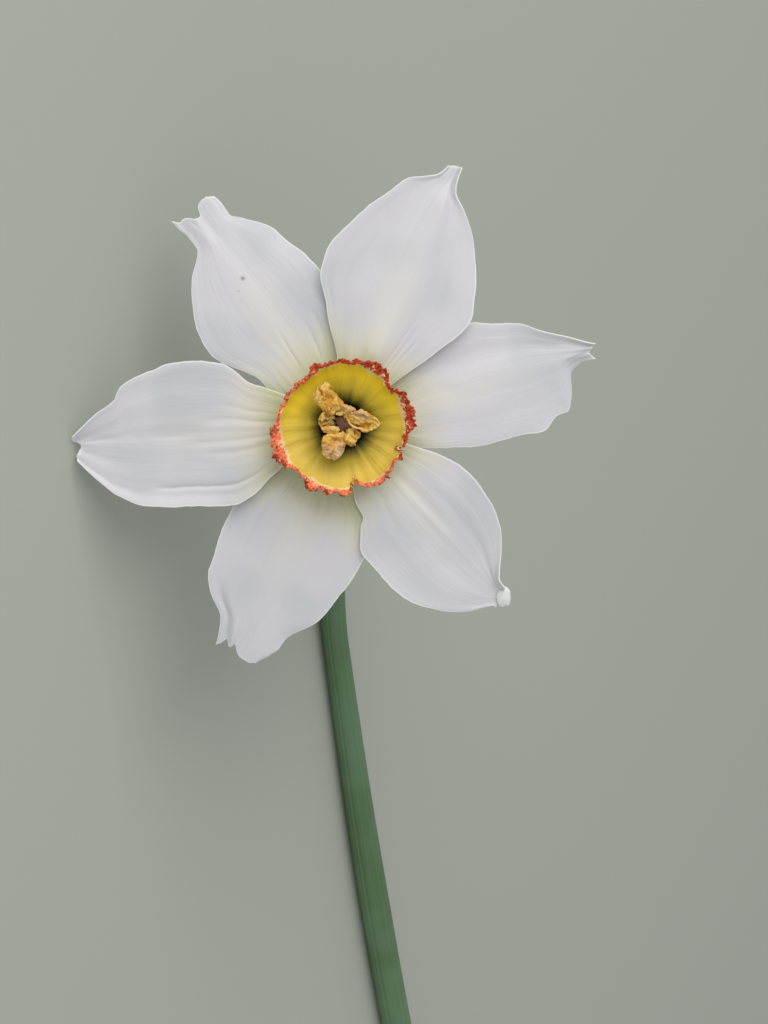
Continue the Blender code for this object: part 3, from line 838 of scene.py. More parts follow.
@dataclass
class Tepal:
    """One petal-like tepal: its outline, how it bends, and its own folds.

    A margin is the half width by distance from the flower's axis. The tip is how far the end
    draws back across its width, from the clockwise corner (-1) to the other one (1). A nub is
    a swollen end: its distance and side, its two half sizes and the turn of its long side.
    The painted shade reach is how much further out than usual the foot's green and cream reach, standing in
    for the cup's shade on the lower tepals.

    The reflex is how far the tip bends back. The cup, the lift and the roll raise the left and
    the right margin: towards the tip, a third of the way out, and at the very edge. The twist
    is in degrees. The ruffle is the margins' waves: height, count and phase. A speck is its
    distance, its side and its size.
    """

    name: str
    angle: float
    whorl: Whorl
    reach: float
    left: Stations
    right: Stations
    tip: Stations
    reflex: float
    cup: tuple[float, float]
    twist: float
    ruffle: tuple[float, float, float]
    folds: tuple[Fold, ...] = ()
    roll: tuple[float, float] = (0.05, 0.05)
    lift: tuple[float, float] = (0.0, 0.0)
    pleat: float = 0.05
    nub: tuple[float, ...] = ()
    painted_shade_reach: float = 0.0
    specks: tuple[tuple[float, float, float], ...] = ()
    seed: float = 0.0
    start: float = 3.0
    rows: int = 150
    columns: int = 110
    thickness: float = 0.4
    edge_thickness: float = 0.14
    vein_height: float = 0.015

    def flat_place(self, u: float, v: float) -> tuple[float, float]:
        """Distance from the axis and to the side, before the tepal bends.

        Args:
            u: place along the tepal, 0 to 1.
            v: place across it, -1 to 1.

        Returns:
            The distance from the flower's axis, and the distance to the side.
        """
        place = self.start + (self.reach - self.start) * u
        margin = self.left if v > 0 else self.right
        wobble = 1 + 0.018 * ripple(u * 9, v > 0, self.seed) + 0.008 * ripple(u * 31, v > 0, self.seed)
        side = smooth(margin, place) * v * wobble
        back = smooth(self.tip, v) + 0.12 * ripple(v * 9, 5.0, self.seed)
        return place - back * u ** 8, side

    def height(self, u: float, v: float, place: float, side: float) -> float:
        """Height of the middle surface over the tepals' plane.

        Args:
            u: place along the tepal, 0 to 1.
            v: place across it, -1 to 1.
            place: distance from the flower's axis.
            side: distance to the side.

        Returns:
            The height.
        """
        reach = place / self.reach
        size, waves, phase = self.ruffle
        cup = self.cup[0] if v > 0 else self.cup[1]
        roll = self.roll[0] if v > 0 else self.roll[1]
        height = self.whorl.value - self.reflex * reach ** 2
        height += cup * v * v * reach
        height += math.tan(math.radians(self.twist)) * side * reach
        height += size * v * abs(v) * math.sin(2 * math.pi * waves * u + phase) * reach ** 2
        height += roll * step(0.8, 1.0, abs(v)) * step(0.12, 0.3, u)
        height += (self.lift[0] if v > 0 else self.lift[1]) * v * v * hump(u - 0.3, 0.28)
        height += self.pleat * ripple(v * 4.4, u * 1.2, self.seed + 5) * (1 - 0.6 * u)
        height += sum(fold.at(u, v) for fold in self.folds)
        height += self.vein_height * ripple(v * 9.5, u * 1.6, self.seed) * (1 - 0.5 * u)
        height += 0.22 * ripple(v * 2.2, u * 3.0, self.seed + 3) * reach * (1 - hump(u, 0.25))
        return height

    def point(self, u: float, v: float) -> Vector:
        """A point of the middle surface, in the flower's frame.

        Args:
            u: place along the tepal, 0 to 1.
            v: place across it, -1 to 1.

        Returns:
            The point.
        """
        place, side = self.flat_place(u, v)
        turn = math.radians(self.angle)
        return Vector((place * math.cos(turn) - side * math.sin(turn),
                       place * math.sin(turn) + side * math.cos(turn),
                       self.height(u, v, place, side)))

    def spread(self, j: int) -> float:
        """Place across the tepal of a column, closer together towards the margins."""
        return math.sin(math.pi / 2 * (-1 + 2 * j / (self.columns - 1)) * CROWDING) / math.sin(
            math.pi / 2 * CROWDING)

    def swollen_end(self) -> Skin:
        """The nub, as a small uneven ball that the tepal ends in.

        Returns:
            Its closed skin.
        """
        place, side, short, long, lean = self.nub
        turn = math.radians(self.angle)
        middle = Vector((place * math.cos(turn) - side * math.sin(turn),
                         place * math.sin(turn) + side * math.cos(turn),
                         self.height(0.97, 0.2, place, side) + 0.1))
        axis = Vector((math.cos(turn + math.radians(lean)), math.sin(turn + math.radians(lean)), 0.0))
        flank = Vector((-axis.y, axis.x, 0.0))
        rings = []
        steps, around = 18, 32
        for k in range(1, steps):
            ring = []
            for j in range(around):
                dip, roll = math.pi * k / steps, 2 * math.pi * j / around
                out = axis * (long * math.cos(dip)) + (
                    flank * math.cos(roll) + Vector((0, 0, 0.6 * math.sin(roll)))) * short * math.sin(dip)
                ring.append(middle + out * (1 + 0.24 * noise.noise(out * 1.5)))
            rings.append(ring)
        # The nub takes a share of the margins' painted highlight.
        names = {"along": 0.97, "across": 0.2, "seed": self.seed * GRAIN_SHIFT, "reach": place,
                 "margin": 0.45, "speck": 0.0, "front": 1.0}
        return lofted(rings, {name: [[value] * around for _ in rings] for name, value in names.items()})

    def build(self) -> bpy.types.Object:
        """Makes the tepal as a thin closed solid.

        Returns:
            The finished piece.
        """
        us = [i / (self.rows - 1) for i in range(self.rows)]
        vs = [self.spread(j) for j in range(self.columns)]
        surface = [[self.point(u, v) for v in vs] for u in us]
        flat = [[self.flat_place(u, v) for v in vs] for u in us]
        values = {
            "along": [[u for _ in vs] for u in us],
            "across": [vs for _ in us],
            "seed": [[self.seed * GRAIN_SHIFT for _ in vs] for _ in us],
            # Painted shade: the reach is cut back on the lower tepals, so the foot's green spreads further
            # out there.
            "reach": [[place - self.painted_shade_reach for place, _ in row] for row in flat],
            # margin: the share of the painted highlight along the thin margins and the tip's end.
            "margin": [[max(step(0.97, 0.995, abs(v)), step(0.985, 1.0, u)) * 0.8 for v in vs] for u in us],
            "speck": [[max([hump(math.dist(spot, (x, y)), size) for x, y, size in self.specks],
                           default=0.0) for spot in row] for row in flat],
        }

        def thickness(i: int, j: int) -> float:
            """Thick along the middle and fine at the margins."""
            return self.edge_thickness + (self.thickness - self.edge_thickness) * (
                1 - max(abs(vs[j]) ** 6, us[i] ** 10))

        skin = thin_solid(surface, thickness, False, values)
        if self.nub:
            skin.add(self.swollen_end())
        return settle(skin.build(self.name + "_skin", HEAD), TEPAL_TISSUE, "tepal", self.name)


TEPALS = (
    Tepal("tepal_inner_1", 66.3, Whorl.INNER, 30.5,
          ((2.8, 1.5), (5.0, 2.9), (6.6, 3.6), (9.8, 6.05), (12.1, 7.5), (13.6, 8.55), (14.9, 9.0),
           (16.6, 9.2), (21.7, 7.5), (25.1, 5.6), (27.3, 4.3), (28.2, 2.8), (29.2, 1.4), (30.5, 0.8)),
          ((2.8, 1.3), (7.1, 3.7), (11.7, 6.4), (15.9, 8.2), (18.2, 7.6), (21.7, 6.2), (24.1, 4.8),
           (26.3, 2.8), (27.8, 1.1), (29.1, 0.7), (30.5, 0.6)),
          ((-1.0, 0.0), (0.0, 0.1), (1.0, 0.4)), 1.6, (0.5, 0.7), 3.0, (0.30, 1.6, 0.4),
          folds=(Fold(0.0, -0.1, 0.1, 0.95, 0.62, 0.27), Fold(-0.5, -0.35, 0.1, 0.4, -0.12, 0.04),
                 Fold(-0.38, -0.3, 0.1, 0.42, -0.1, 0.03), Fold(-0.62, -0.5, 0.12, 0.36, -0.1, 0.03),
                 Fold(0.93, 0.82, 0.2, 0.5, -0.08, 0.04), Fold(0.75, 0.55, 0.2, 0.95, -0.12, 0.2)),
          lift=(-0.7, -0.2), seed=1.0),
    Tepal("tepal_outer_1", 16.0, Whorl.OUTER, 29.2,
          ((2.8, 1.2), (8.2, 4.6), (12.5, 6.4), (16.4, 6.6), (18.2, 6.1), (21.6, 5.0), (23.6, 3.7),
           (26.3, 2.2), (28.4, 0.9), (29.2, 0.5)),
          ((2.8, 1.2), (7.6, 5.1), (12.1, 6.4), (15.0, 6.9), (18.7, 6.9), (21.1, 7.3), (23.3, 6.0),
           (24.3, 6.0), (25.4, 4.0), (25.8, 2.1), (26.3, 1.6), (27.8, 1.1), (29.2, 1.2)),
          ((-1.0, 0.4), (-0.25, 0.9), (0.25, 0.5), (1.0, 0.0)), 2.2, (0.5, -0.5), -2.0,
          (0.35, 2.2, 2.1),
          folds=(Fold(0.2, -0.05, 0.3, 1.0, 0.14, 0.18), Fold(0.55, 0.45, 0.2, 0.9, -0.18, 0.18)),
          lift=(0.15, 0.0), pleat=0.07, seed=2.0),
    Tepal("tepal_inner_2", -47.9, Whorl.INNER, 27.0,
          ((2.8, 1.3), (7.6, 4.5), (9.8, 5.7), (13.1, 6.7), (16.6, 6.4), (20.1, 5.35), (22.4, 3.6),
           (24.4, 1.8), (25.4, 1.15), (27.0, 1.0)),
          ((2.8, 1.3), (6.2, 4.1), (7.7, 4.95), (8.9, 5.2), (9.35, 5.45), (9.8, 6.2), (10.4, 6.8),
           (12.2, 8.2), (15.5, 8.4), (19.1, 8.1), (22.4, 6.5), (24.4, 4.9), (25.4, 3.6), (26.1, 2.2),
           (26.7, 1.3)),
          ((-1.0, 0.0), (0.0, 0.5), (1.0, 1.2)), 1.4, (0.9, 0.4), 2.0, (0.35, 1.8, 3.6),
          folds=(Fold(0.35, 0.2, 0.1, 0.6, 0.09, 0.12), Fold(0.0, 0.05, 0.12, 0.65, 0.09, 0.07),
                 Fold(-0.5, -0.3, 0.1, 0.5, -0.08, 0.1)),
          lift=(-0.2, -0.4), pleat=0.09, nub=(26.7, 0.15, 0.85, 1.12, 136.0), seed=3.0),
    Tepal("tepal_outer_2", -114.2, Whorl.OUTER, 29.7,
          ((2.8, 1.6), (4.5, 3.6), (6.2, 4.9), (7.4, 5.35), (8.25, 5.9), (9.2, 7.35), (12.7, 8.5),
           (15.5, 8.2), (18.8, 7.6), (21.7, 6.9), (25.8, 4.3), (28.0, 3.9), (29.7, 2.8)),
          ((2.8, 1.2), (8.5, 5.4), (13.7, 7.3), (16.4, 7.3), (21.4, 6.8), (23.8, 5.7), (26.1, 3.5),
           (28.0, 2.9), (29.7, 2.6)),
          ((-1.0, 0.2), (-0.8, 0.9), (-0.66, 1.5), (-0.5, 0.9), (-0.4, 0.8), (-0.28, 1.4), (-0.1, 0.8),
           (0.1, 0.2), (0.5, 0.0), (0.8, 0.3), (1.0, 1.6)), 1.8, (-0.3, -0.3), 2.0, (0.30, 1.4, 5.2),
          folds=(Fold(-0.7, -0.75, 0.7, 1.05, -0.25, 0.1), Fold(-0.4, -0.45, 0.8, 1.05, 0.2, 0.1)),
          lift=(0.3, 0.1), pleat=0.07, painted_shade_reach=2.2, seed=4.0),
    Tepal("tepal_inner_3", 184.6, Whorl.INNER, 29.8,
          ((2.8, 1.3), (8.2, 5.1), (10.5, 7.1), (13.0, 8.1), (17.3, 7.8), (22.3, 7.4), (25.3, 6.1),
           (27.8, 4.0), (29.8, 1.9)),
          ((2.8, 1.5), (5.5, 3.4), (8.0, 4.6), (9.8, 5.4), (11.2, 6.75), (12.6, 7.7), (15.5, 8.2),
           (18.2, 8.2), (20.5, 7.5), (22.4, 6.8), (23.6, 6.2), (24.2, 5.6), (24.6, 4.7), (26.8, 3.3),
           (29.8, 0.9)),
          ((-1.0, 0.1), (-0.5, 0.0), (-0.2, 0.5), (0.15, 0.9), (0.5, 0.5), (0.75, 0.3), (1.0, 0.4)),
          1.2, (0.4, 0.7), -3.0, (0.30, 1.7, 0.9),
          folds=(Fold(-0.05, -0.1, 0.45, 1.0, -0.2, 0.14), Fold(0.7, 0.74, 0.15, 0.72, -0.2, 0.04),
                 Fold(0.3, 0.2, 0.1, 0.5, -0.1, 0.05), Fold(0.12, 0.1, 0.1, 0.55, -0.1, 0.05),
                 Fold(-0.2, -0.2, 0.1, 0.5, -0.1, 0.05), Fold(-0.42, -0.4, 0.1, 0.45, -0.08, 0.05),
                 Fold(0.02, -0.02, 0.5, 0.68, -0.1, 0.03)),
          roll=(0.35, 0.05), lift=(-0.3, -0.35), pleat=0.13, vein_height=0.035, painted_shade_reach=1.5, seed=5.0),
    Tepal("tepal_outer_3", 125.2, Whorl.OUTER, 28.6,
          ((2.8, 2.0), (5.0, 3.7), (7.0, 4.5), (8.0, 4.65), (9.2, 4.75), (10.2, 5.2), (12.1, 6.5),
           (13.2, 7.2), (14.9, 7.6), (17.4, 7.25), (20.5, 5.7), (22.2, 4.5), (24.7, 2.1), (26.2, 2.2),
           (27.4, 2.55), (28.6, 2.7)),
          ((2.8, 1.8), (4.5, 3.8), (6.0, 5.2), (9.0, 7.2), (12.0, 8.0), (14.6, 7.6), (16.1, 7.4),
           (17.7, 7.2), (19.9, 6.4), (21.9, 5.8), (24.4, 4.0), (25.8, 2.9), (27.4, 2.9), (28.6, 2.7)),
          ((-1.0, 0.5), (-0.6, 0.0), (-0.25, 0.3), (-0.05, 1.4), (0.15, 1.3), (0.3, 0.9), (0.5, 0.6),
           (0.75, 0.6), (1.0, 0.0)), 2.0, (-0.4, -0.3), 3.0, (0.35, 2.0, 4.4),
          folds=(Fold(-0.5, -0.62, 0.1, 0.4, -0.1, 0.03), Fold(-0.32, -0.5, 0.1, 0.36, -0.1, 0.025),
                 Fold(0.12, -0.2, 0.12, 0.4, -0.1, 0.025), Fold(-0.75, -0.8, 0.2, 0.5, -0.1, 0.05),
                 Fold(0.15, 0.1, 0.3, 0.95, 0.12, 0.22), Fold(0.0, 0.3, 0.86, 1.05, -0.16, 0.12)),
          lift=(0.1, 0.6), specks=((19.1, -0.15, 0.2), (18.3, 0.96, 0.06), (17.2, 1.5, 0.06)), seed=6.0),
)


# ---------------------------------------------------------------- corona

@dataclass
class Corona:
    """The shallow cup in the flower's middle: a ribbed funnel with a crisped coral rim.

    The outline is how far the rim stands out past the profile, and the band how wide the
    coral is, both by the angle in degrees. A slit is its angle in degrees, its half width in
    radians and its depth.
    """

    profile: Stations = ((2.45, 1.2), (2.72, 1.85), (3.5, 2.1), (4.5, 2.25), (5.5, 2.6),
                         (6.35, 3.15), (6.85, 3.75), (7.15, 4.25))
    outline: Stations = ((-180, 0.25), (-171, 0.6), (-158, 0.85), (-149, 0.6), (-139, -0.3), (-127, -0.2),
                         (-121, 0.25), (-110, -0.25), (-105, 0.2), (-97, 0.0), (-86, 0.25), (-74, -0.7),
                         (-67, -0.3), (-53, 0.0), (-38, -0.25), (-25, -0.1), (-14, -0.25), (7, 0.45),
                         (15, 0.65), (22, 0.5), (32, 0.2), (39, -0.2), (45, -0.2), (49, 0.45), (64, 0.8),
                         (71, 0.35), (77, 0.4), (84, 0.15), (90, 0.45), (96, 0.1), (104, 0.0), (113, 0.35),
                         (118, -0.1), (127, -0.35), (145, -0.3), (156, -0.25), (167, -0.1), (180, 0.25))
    band: Stations = ((-180, 0.7), (-171, 0.9), (-158, 1.0), (-149, 0.8), (-139, 0.3), (-127, 0.45),
                      (-121, 0.9), (-110, 0.45), (-105, 0.7), (-97, 0.5), (-86, 0.75), (-82, 0.5),
                      (-80, 0.15), (-78, 0.15), (-75, 0.45), (-67, 0.45), (-53, 0.55), (-38, 0.4),
                      (-25, 0.45), (-22, 0.2), (-18, 0.2), (-14, 0.35), (7, 0.9), (15, 1.05),
                      (22, 0.9), (32, 0.6), (42, 0.4), (49, 0.75), (64, 0.95), (71, 0.6),
                      (84, 0.35), (104, 0.35), (113, 0.8), (127, 0.5), (145, 0.4), (156, 0.3),
                      (167, 0.25), (180, 0.7))
    slits: tuple[tuple[float, float, float], ...] = ((-79.0, 0.07, 1.6), (-20.0, 0.045, 0.8),
                                                     (38.0, 0.03, 0.3), (172.0, 0.03, 0.25))
    ribs: int = 24
    rib_depth: float = 0.08
    rows: int = 64
    columns: int = 720
    thickness: float = 0.34
    flake_size: float = 0.125
    flake_density: float = 6.0

    def edge(self, stations: Stations, angle: float) -> float:
        """Reads the outline or the band at an angle in radians."""
        return smooth(stations, math.degrees(math.remainder(angle, 2 * math.pi)))

    def to_rim(self, share: float) -> float:
        """How far a share of the profile is from the rim, along the cup's wall.

        Args:
            share: 0 at the cup's foot and 1 at its rim.

        Returns:
            The distance.
        """
        places = [share + (1 - share) * k / 8 for k in range(9)]
        points = [Vector(self.wall(place)) for place in places]
        return sum((b - a).length for a, b in zip(points, points[1:]))

    def wall(self, share: float) -> tuple[float, float]:
        """Radius and height of the plain cup at a share of its profile.

        Args:
            share: 0 at the cup's foot and 1 at its rim.

        Returns:
            The radius and the height.
        """
        place = share * (len(self.profile) - 1)
        return (smooth([(k, out) for k, (out, _) in enumerate(self.profile)], place),
                smooth([(k, up) for k, (_, up) in enumerate(self.profile)], place))

    def point(self, share: float, angle: float, crisp: float) -> Vector:
        """A point of the cup's middle surface.

        Args:
            share: 0 at the cup's foot and 1 at its rim.
            angle: the angle round the flower's axis.
            crisp: 1 in the crisped band, 0 below it.

        Returns:
            The point in the flower's frame.
        """
        radius, height = self.wall(share)
        ray = Vector((math.cos(angle), math.sin(angle), 0.0))
        radius += self.edge(self.outline, angle) * share ** 3
        height += self.rib_depth * share * math.cos(self.ribs * angle + 2 * ripple(ray.x * 2, ray.y * 2, 4.0))
        for slit_angle, width, depth in self.slits:
            off = math.remainder(angle - math.radians(slit_angle), 2 * math.pi)
            slit = depth * step(0.72, 1.0, share) * hump(off, width)
            radius -= 0.75 * slit
            height -= 0.8 * slit
        rim = step(0.7, 1.0, share)
        radius += rim * 0.12 * ripple(ray.x * 6, ray.y * 6, 1.0)
        height += rim * 0.22 * ripple(ray.x * 9, ray.y * 9, 7.0)
        place = ray * radius + Vector((0.0, 0.0, height))
        frill = noise.noise_vector(place * 1.2) * 0.28 + noise.noise_vector(place * 3.4) * 0.26
        frill += ray * 0.25 * ripple(ray.x * 38, ray.y * 38, 3.0) * rim
        return place + frill * crisp

    def build(self) -> None:
        """Makes the cup and the crisped flakes of its rim."""
        shares = [1 - (1 - i / (self.rows - 1)) ** 1.5 for i in range(self.rows)]
        angles = [2 * math.pi * j / self.columns for j in range(self.columns)]
        left = [self.to_rim(share) for share in shares]
        bands = [[run / self.edge(self.band, angle) for angle in angles] for run in left]
        crisps = [[1 - step(0.75, 1.15, value) for value in row] for row in bands]
        surface = [[self.point(share, angle, crisp) for angle, crisp in zip(angles, row)]
                   for share, row in zip(shares, crisps)]
        values = {
            "share": [[share for _ in angles] for share in shares],
            "band": bands,
            "width": [[min(0.35 + 0.85 * self.edge(self.band, angle), 1.15) for angle in angles]
                      for _ in shares],
            "ray_x": [[math.cos(angle) for angle in angles] for _ in shares],
            "ray_y": [[math.sin(angle) for angle in angles] for _ in shares],
        }
        skin = thin_solid(surface, lambda i, j: self.thickness * (1 - 0.5 * shares[i] ** 4), True, values)
        cup = settle(skin.build("corona_cup", HEAD), CORONA_TISSUE, "corona", "corona")
        flakes = bpy.data.objects.new("corona_crest", cup.data.copy())
        bpy.context.scene.collection.objects.link(flakes)
        flakes.data.materials.clear()
        settle(grown(flakes, flake_tree(FRILL_TISSUE.build()), {
            "Density": self.flake_density / MM ** 2, "Size": self.flake_size * MM}), FRILL_TISSUE, "corona")


def open_tree(name: str, sizes: Sequence[str]) -> tuple[bpy.types.NodeTree, bpy.types.NodeInputs]:
    """Starts a Geometry Nodes tree with one geometry and some named numbers as its inputs.

    Args:
        name: the tree's name.
        sizes: the names of its number inputs.

    Returns:
        The tree and the sockets that its inputs come out of.
    """
    tree = bpy.data.node_groups.new(name, "GeometryNodeTree")
    tree.interface.new_socket("Geometry", in_out="INPUT", socket_type="NodeSocketGeometry")
    for size in sizes:
        tree.interface.new_socket(size, in_out="INPUT", socket_type="NodeSocketFloat")
    tree.interface.new_socket("Geometry", in_out="OUTPUT", socket_type="NodeSocketGeometry")
    return tree, add_node(tree, "NodeGroupInput").outputs


def close_tree(tree: bpy.types.NodeTree, geometry: bpy.types.NodeSocket,
               material: bpy.types.Material) -> bpy.types.NodeTree:
    """Ends a tree: real geometry, with the material set.

    Args:
        tree: the tree.
        geometry: the socket with what it has made.
        material: the material of it all.

    Returns:
        The tree.
    """
    real = add_node(tree, "GeometryNodeRealizeInstances", {"Geometry": geometry})
    painted = add_node(tree, "GeometryNodeSetMaterial", {
        "Geometry": real.outputs["Geometry"], "Material": material})
    add_node(tree, "NodeGroupOutput", {"Geometry": painted.outputs["Geometry"]})
    return tree


def random_vector(tree: bpy.types.NodeTree, low: float, high: float, seed: int) -> bpy.types.NodeSocket:
    """A random vector for each point, with its parts between low and high."""
    return add_node(tree, "FunctionNodeRandomValue", {
        0: (low, low, low), 1: (high, high, high), "Seed": seed}, data_type="FLOAT_VECTOR").outputs[0]


def scattered(tree: bpy.types.NodeTree, given: bpy.types.NodeInputs, pick: bpy.types.NodeSocket | bool,
              steps: int, sizes: tuple[float, float], seed: int,
              growth: bpy.types.NodeSocket | float = 1.0) -> bpy.types.NodeSocket:
    """Scatters small rough balls over the picked faces of a mesh.

    Args:
        tree: the tree, with the inputs Geometry, Density and Size.
        given: the sockets that the tree's inputs come out of.
        pick: which faces are covered.
        steps: how often the ball is subdivided.
        sizes: the least and the greatest share of Size, drawn for each direction.
        seed: of the draw.
        growth: how large the balls are made at each point.

    Returns:
        The socket with the instances.
    """
    points = add_node(tree, "GeometryNodeDistributePointsOnFaces", {
        "Mesh": given["Geometry"], "Selection": pick, "Density": given["Density"], "Seed": seed})
    ball = add_node(tree, "GeometryNodeMeshIcoSphere", {"Radius": given["Size"], "Subdivisions": steps})
    scale = add_node(tree, "ShaderNodeVectorMath", {
        0: random_vector(tree, *sizes, seed + 2), "Scale": growth}, operation="SCALE")
    placed = add_node(tree, "GeometryNodeInstanceOnPoints", {
        "Points": points.outputs["Points"], "Instance": ball.outputs["Mesh"],
        "Rotation": random_vector(tree, -math.pi, math.pi, seed + 1), "Scale": scale.outputs["Vector"]})
    return placed.outputs["Instances"]


def flake_tree(material: bpy.types.Material) -> bpy.types.NodeTree:
    """A node tree that covers the cup's crisped band with small jagged flakes.

    Args:
        material: the flakes' material.

    Returns:
        The tree, with inputs Density per square metre and Size in metres.
    """
    tree, given = open_tree("crisped_flakes", ("Density", "Size"))
    band = add_node(tree, "GeometryNodeInputNamedAttribute", {"Name": "band"}, data_type="FLOAT")
    pick = add_node(tree, "FunctionNodeCompare", {0: band.outputs["Attribute"], 1: 0.85},
                    operation="LESS_THAN")
    width = add_node(tree, "GeometryNodeInputNamedAttribute", {"Name": "width"}, data_type="FLOAT")
    flakes = scattered(tree, given, pick.outputs[0], 2, (0.25, 1.9), 3, width.outputs["Attribute"])
    real = add_node(tree, "GeometryNodeRealizeInstances", {"Geometry": flakes})
    rough = add_node(tree, "ShaderNodeTexNoise", {"Scale": 3200.0, "Detail": 1.0})
    centred = add_node(tree, "ShaderNodeVectorMath", {0: rough.outputs["Color"], 1: (0.5, 0.5, 0.5)},
                       operation="SUBTRACT")
    reach = add_node(tree, "ShaderNodeMath", {0: given["Size"], 1: 2.2}, operation="MULTIPLY")
    push = add_node(tree, "ShaderNodeVectorMath", {0: centred.outputs["Vector"], "Scale": reach.outputs[0]},
                    operation="SCALE")
    jagged = add_node(tree, "GeometryNodeSetPosition", {
        "Geometry": real.outputs["Geometry"], "Offset": push.outputs["Vector"]})
    return close_tree(tree, jagged.outputs["Geometry"], material)


def grain_tree(material: bpy.types.Material) -> bpy.types.NodeTree:
    """A node tree that scatters small grains over a mesh.

    Args:
        material: the grains' material.

    Returns:
        The tree, with inputs Density per square metre and Size in metres.
    """
    tree, given = open_tree("scattered_grains", ("Density", "Size"))
    return close_tree(tree, scattered(tree, given, True, 1, (0.4, 1.5), 11), material)


def grown(base: bpy.types.Object, tree: bpy.types.NodeTree, sizes: dict[str, float]) -> bpy.types.Object:
    """Runs a node tree on an object and keeps the result as its plain mesh.

    Args:
        base: the object that the tree starts from.
        tree: the node tree.
        sizes: the tree's inputs by name.

    Returns:
        The same object, with the grown mesh and no modifier.
    """
    modifier = base.modifiers.new("grown", "NODES")
    modifier.node_group = tree
    for item in tree.interface.items_tree:
        if item.in_out == "INPUT" and item.name in sizes:
            modifier[item.identifier] = sizes[item.name]
    seen = base.evaluated_get(bpy.context.evaluated_depsgraph_get())
    mesh = bpy.data.meshes.new_from_object(seen)
    base.modifiers.remove(modifier)
    base.data = mesh
    return base


# ---------------------------------------------------------------- stamens and pistil

@dataclass(frozen=True)
class Husk:
    """A dried anther: two valves that meet in a furrow, crumpled into sharp folds.

    Its widths are half widths by share of its length. The turn rolls it about its length. The
    swell is above 0 where the valves still bulge, and below 0 where they have burst and lie
    open. The curl is how far each valve rolls round, in radians. Bare is how far the outer
    skin has flaked off.
    """

    foot: tuple[float, float, float]
    tip: tuple[float, float, float]
    root: tuple[float, float, float]
    widths: Stations
    seed: float
    turn: float = 0.0
    swell: float = 0.5
    curl: float = 4.2
    bare: float = 0.0
    rows: int = 80
    columns: int = 80
    thickness: float = 0.15

    def point(self, share: float, across: float) -> tuple[Vector, float]:
        """A point of the husk's middle surface, and how near it is to a fold's crest (1).

        Args:
            share: place along the husk, 0 at its foot and 1 at its tip.
            across: place across it, -1 to 1, with the furrow at 0.

        Returns:
            The point, and the crest's share, which is below 0 in a hollow.
        """
        foot, tip = Vector(self.foot), Vector(self.tip)
        along = (tip - foot).normalized()
        side = Matrix.Rotation(self.turn, 3, along) @ along.cross(Vector((0.0, 0.0, 1.0))).normalized()
        over = side.cross(along)
        width = smooth(self.widths, share)
        bend = math.pi + self.curl * abs(across)
        place = foot.lerp(tip, share)
        place += side * math.copysign(0.5 * width * (1 + math.cos(bend)), across)
        place -= over * width * self.swell * math.sin(bend)
        shift = Vector((self.seed * 3.1, self.seed * 1.7, self.seed))
        place += noise.noise_vector(place * 0.7 + shift) * 0.4
        crest = 1 - 2.6 * abs(noise.noise(place * 0.85 + shift))
        fine = 1 - 2.6 * abs(noise.noise(place * 2.4 - shift))
        place += over * (0.42 * crest + 0.1 * fine) + noise.noise_vector(place * 2.2 + shift) * 0.09
        return place, 0.6 * crest + 0.4 * fine

    def build(self) -> tuple[Skin, Skin]:
        """Makes the husk and its filament as two skins.

        Returns:
            The husk and the filament.
        """
        shares = [i / (self.rows - 1) for i in range(self.rows)]
        places = [-1 + 2 * j / (self.columns - 1) for j in range(self.columns)]
        found = [[self.point(share, place) for place in places] for share in shares]
        edge = [[max(step(0.9, 1.0, abs(place)), step(0.94, 1.0, abs(2 * share - 1)))
                 for place in places] for share in shares]
        values = {
            # Pale at the lips and, as a painted highlight, along the crests; darker in the hollows, as
            # painted shade.
            "lip_and_crest_highlight": [[0.8 * max(rim, 0.45 * step(0.72, 0.98, crest)) for rim, (_, crest) in zip(*rows)]
                    for rows in zip(edge, found)],
            "hollow_shade": [[0.95 * step(0.3, -0.25, crest) for _, crest in row] for row in found],
            "bare": [[self.bare * step(-0.1, 0.3, ripple(share * 2, place * 2, self.seed + 4) - 0.3 * place)
                      for place in places] for share in shares],
        }
        husk = thin_solid([[place for place, _ in row] for row in found], lambda i, j: self.thickness,
                          False, values)
        joint = Vector(self.foot).lerp(Vector(self.tip), 0.2)
        return husk, tube_between(Vector(self.root), joint, 0.3, 0.24)


HUSKS = (
    Husk((-0.7, 1.98, 4.1), (-2.65, 4.15, 4.2), (-1.2, 1.7, -1.4),
         ((0.0, 0.8), (0.25, 1.15), (0.6, 1.2), (0.9, 1.15), (1.0, 0.9)), 1.0, turn=0.2, swell=0.3),
    Husk((0.85, 1.25, 4.2), (3.9, 0.6, 4.3), (2.0, 0.6, -1.4),
         ((0.0, 0.7), (0.3, 1.15), (0.5, 1.1), (0.8, 0.6), (1.0, 0.12)), 2.0, turn=0.3, swell=-0.25,
         bare=0.6),
    Husk((-0.55, -0.15, 4.1), (-1.4, -3.2, 4.3), (-0.9, -1.9, -1.4),
         ((0.0, 0.8), (0.3, 1.15), (0.6, 1.15), (0.85, 1.0), (1.0, 0.6)), 3.0, turn=-0.2, swell=0.25,
         bare=0.9),
    Husk((-0.8, 0.55, 3.6), (-2.3, 0.25, 4.1), (-1.7, -0.15, -3.0),
         ((0.0, 0.9), (0.4, 1.15), (0.8, 1.1), (1.0, 0.7)), 4.0, turn=0.4, swell=-0.4, curl=4.8),
    Husk((0.2, -0.3, 3.6), (1.6, -1.35, 4.1), (1.2, -1.3, -3.0),
         ((0.0, 0.7), (0.4, 0.95), (0.8, 0.85), (1.0, 0.5)), 5.0, turn=-0.3, swell=0.3),
    Husk((-0.6, 2.2, 4.0), (1.2, 1.75, 4.15), (0.7, 1.6, -3.0),
         ((0.0, 0.55), (0.3, 0.75), (0.7, 0.75), (1.0, 0.5)), 6.0, turn=0.4, swell=0.25, bare=0.5),
)


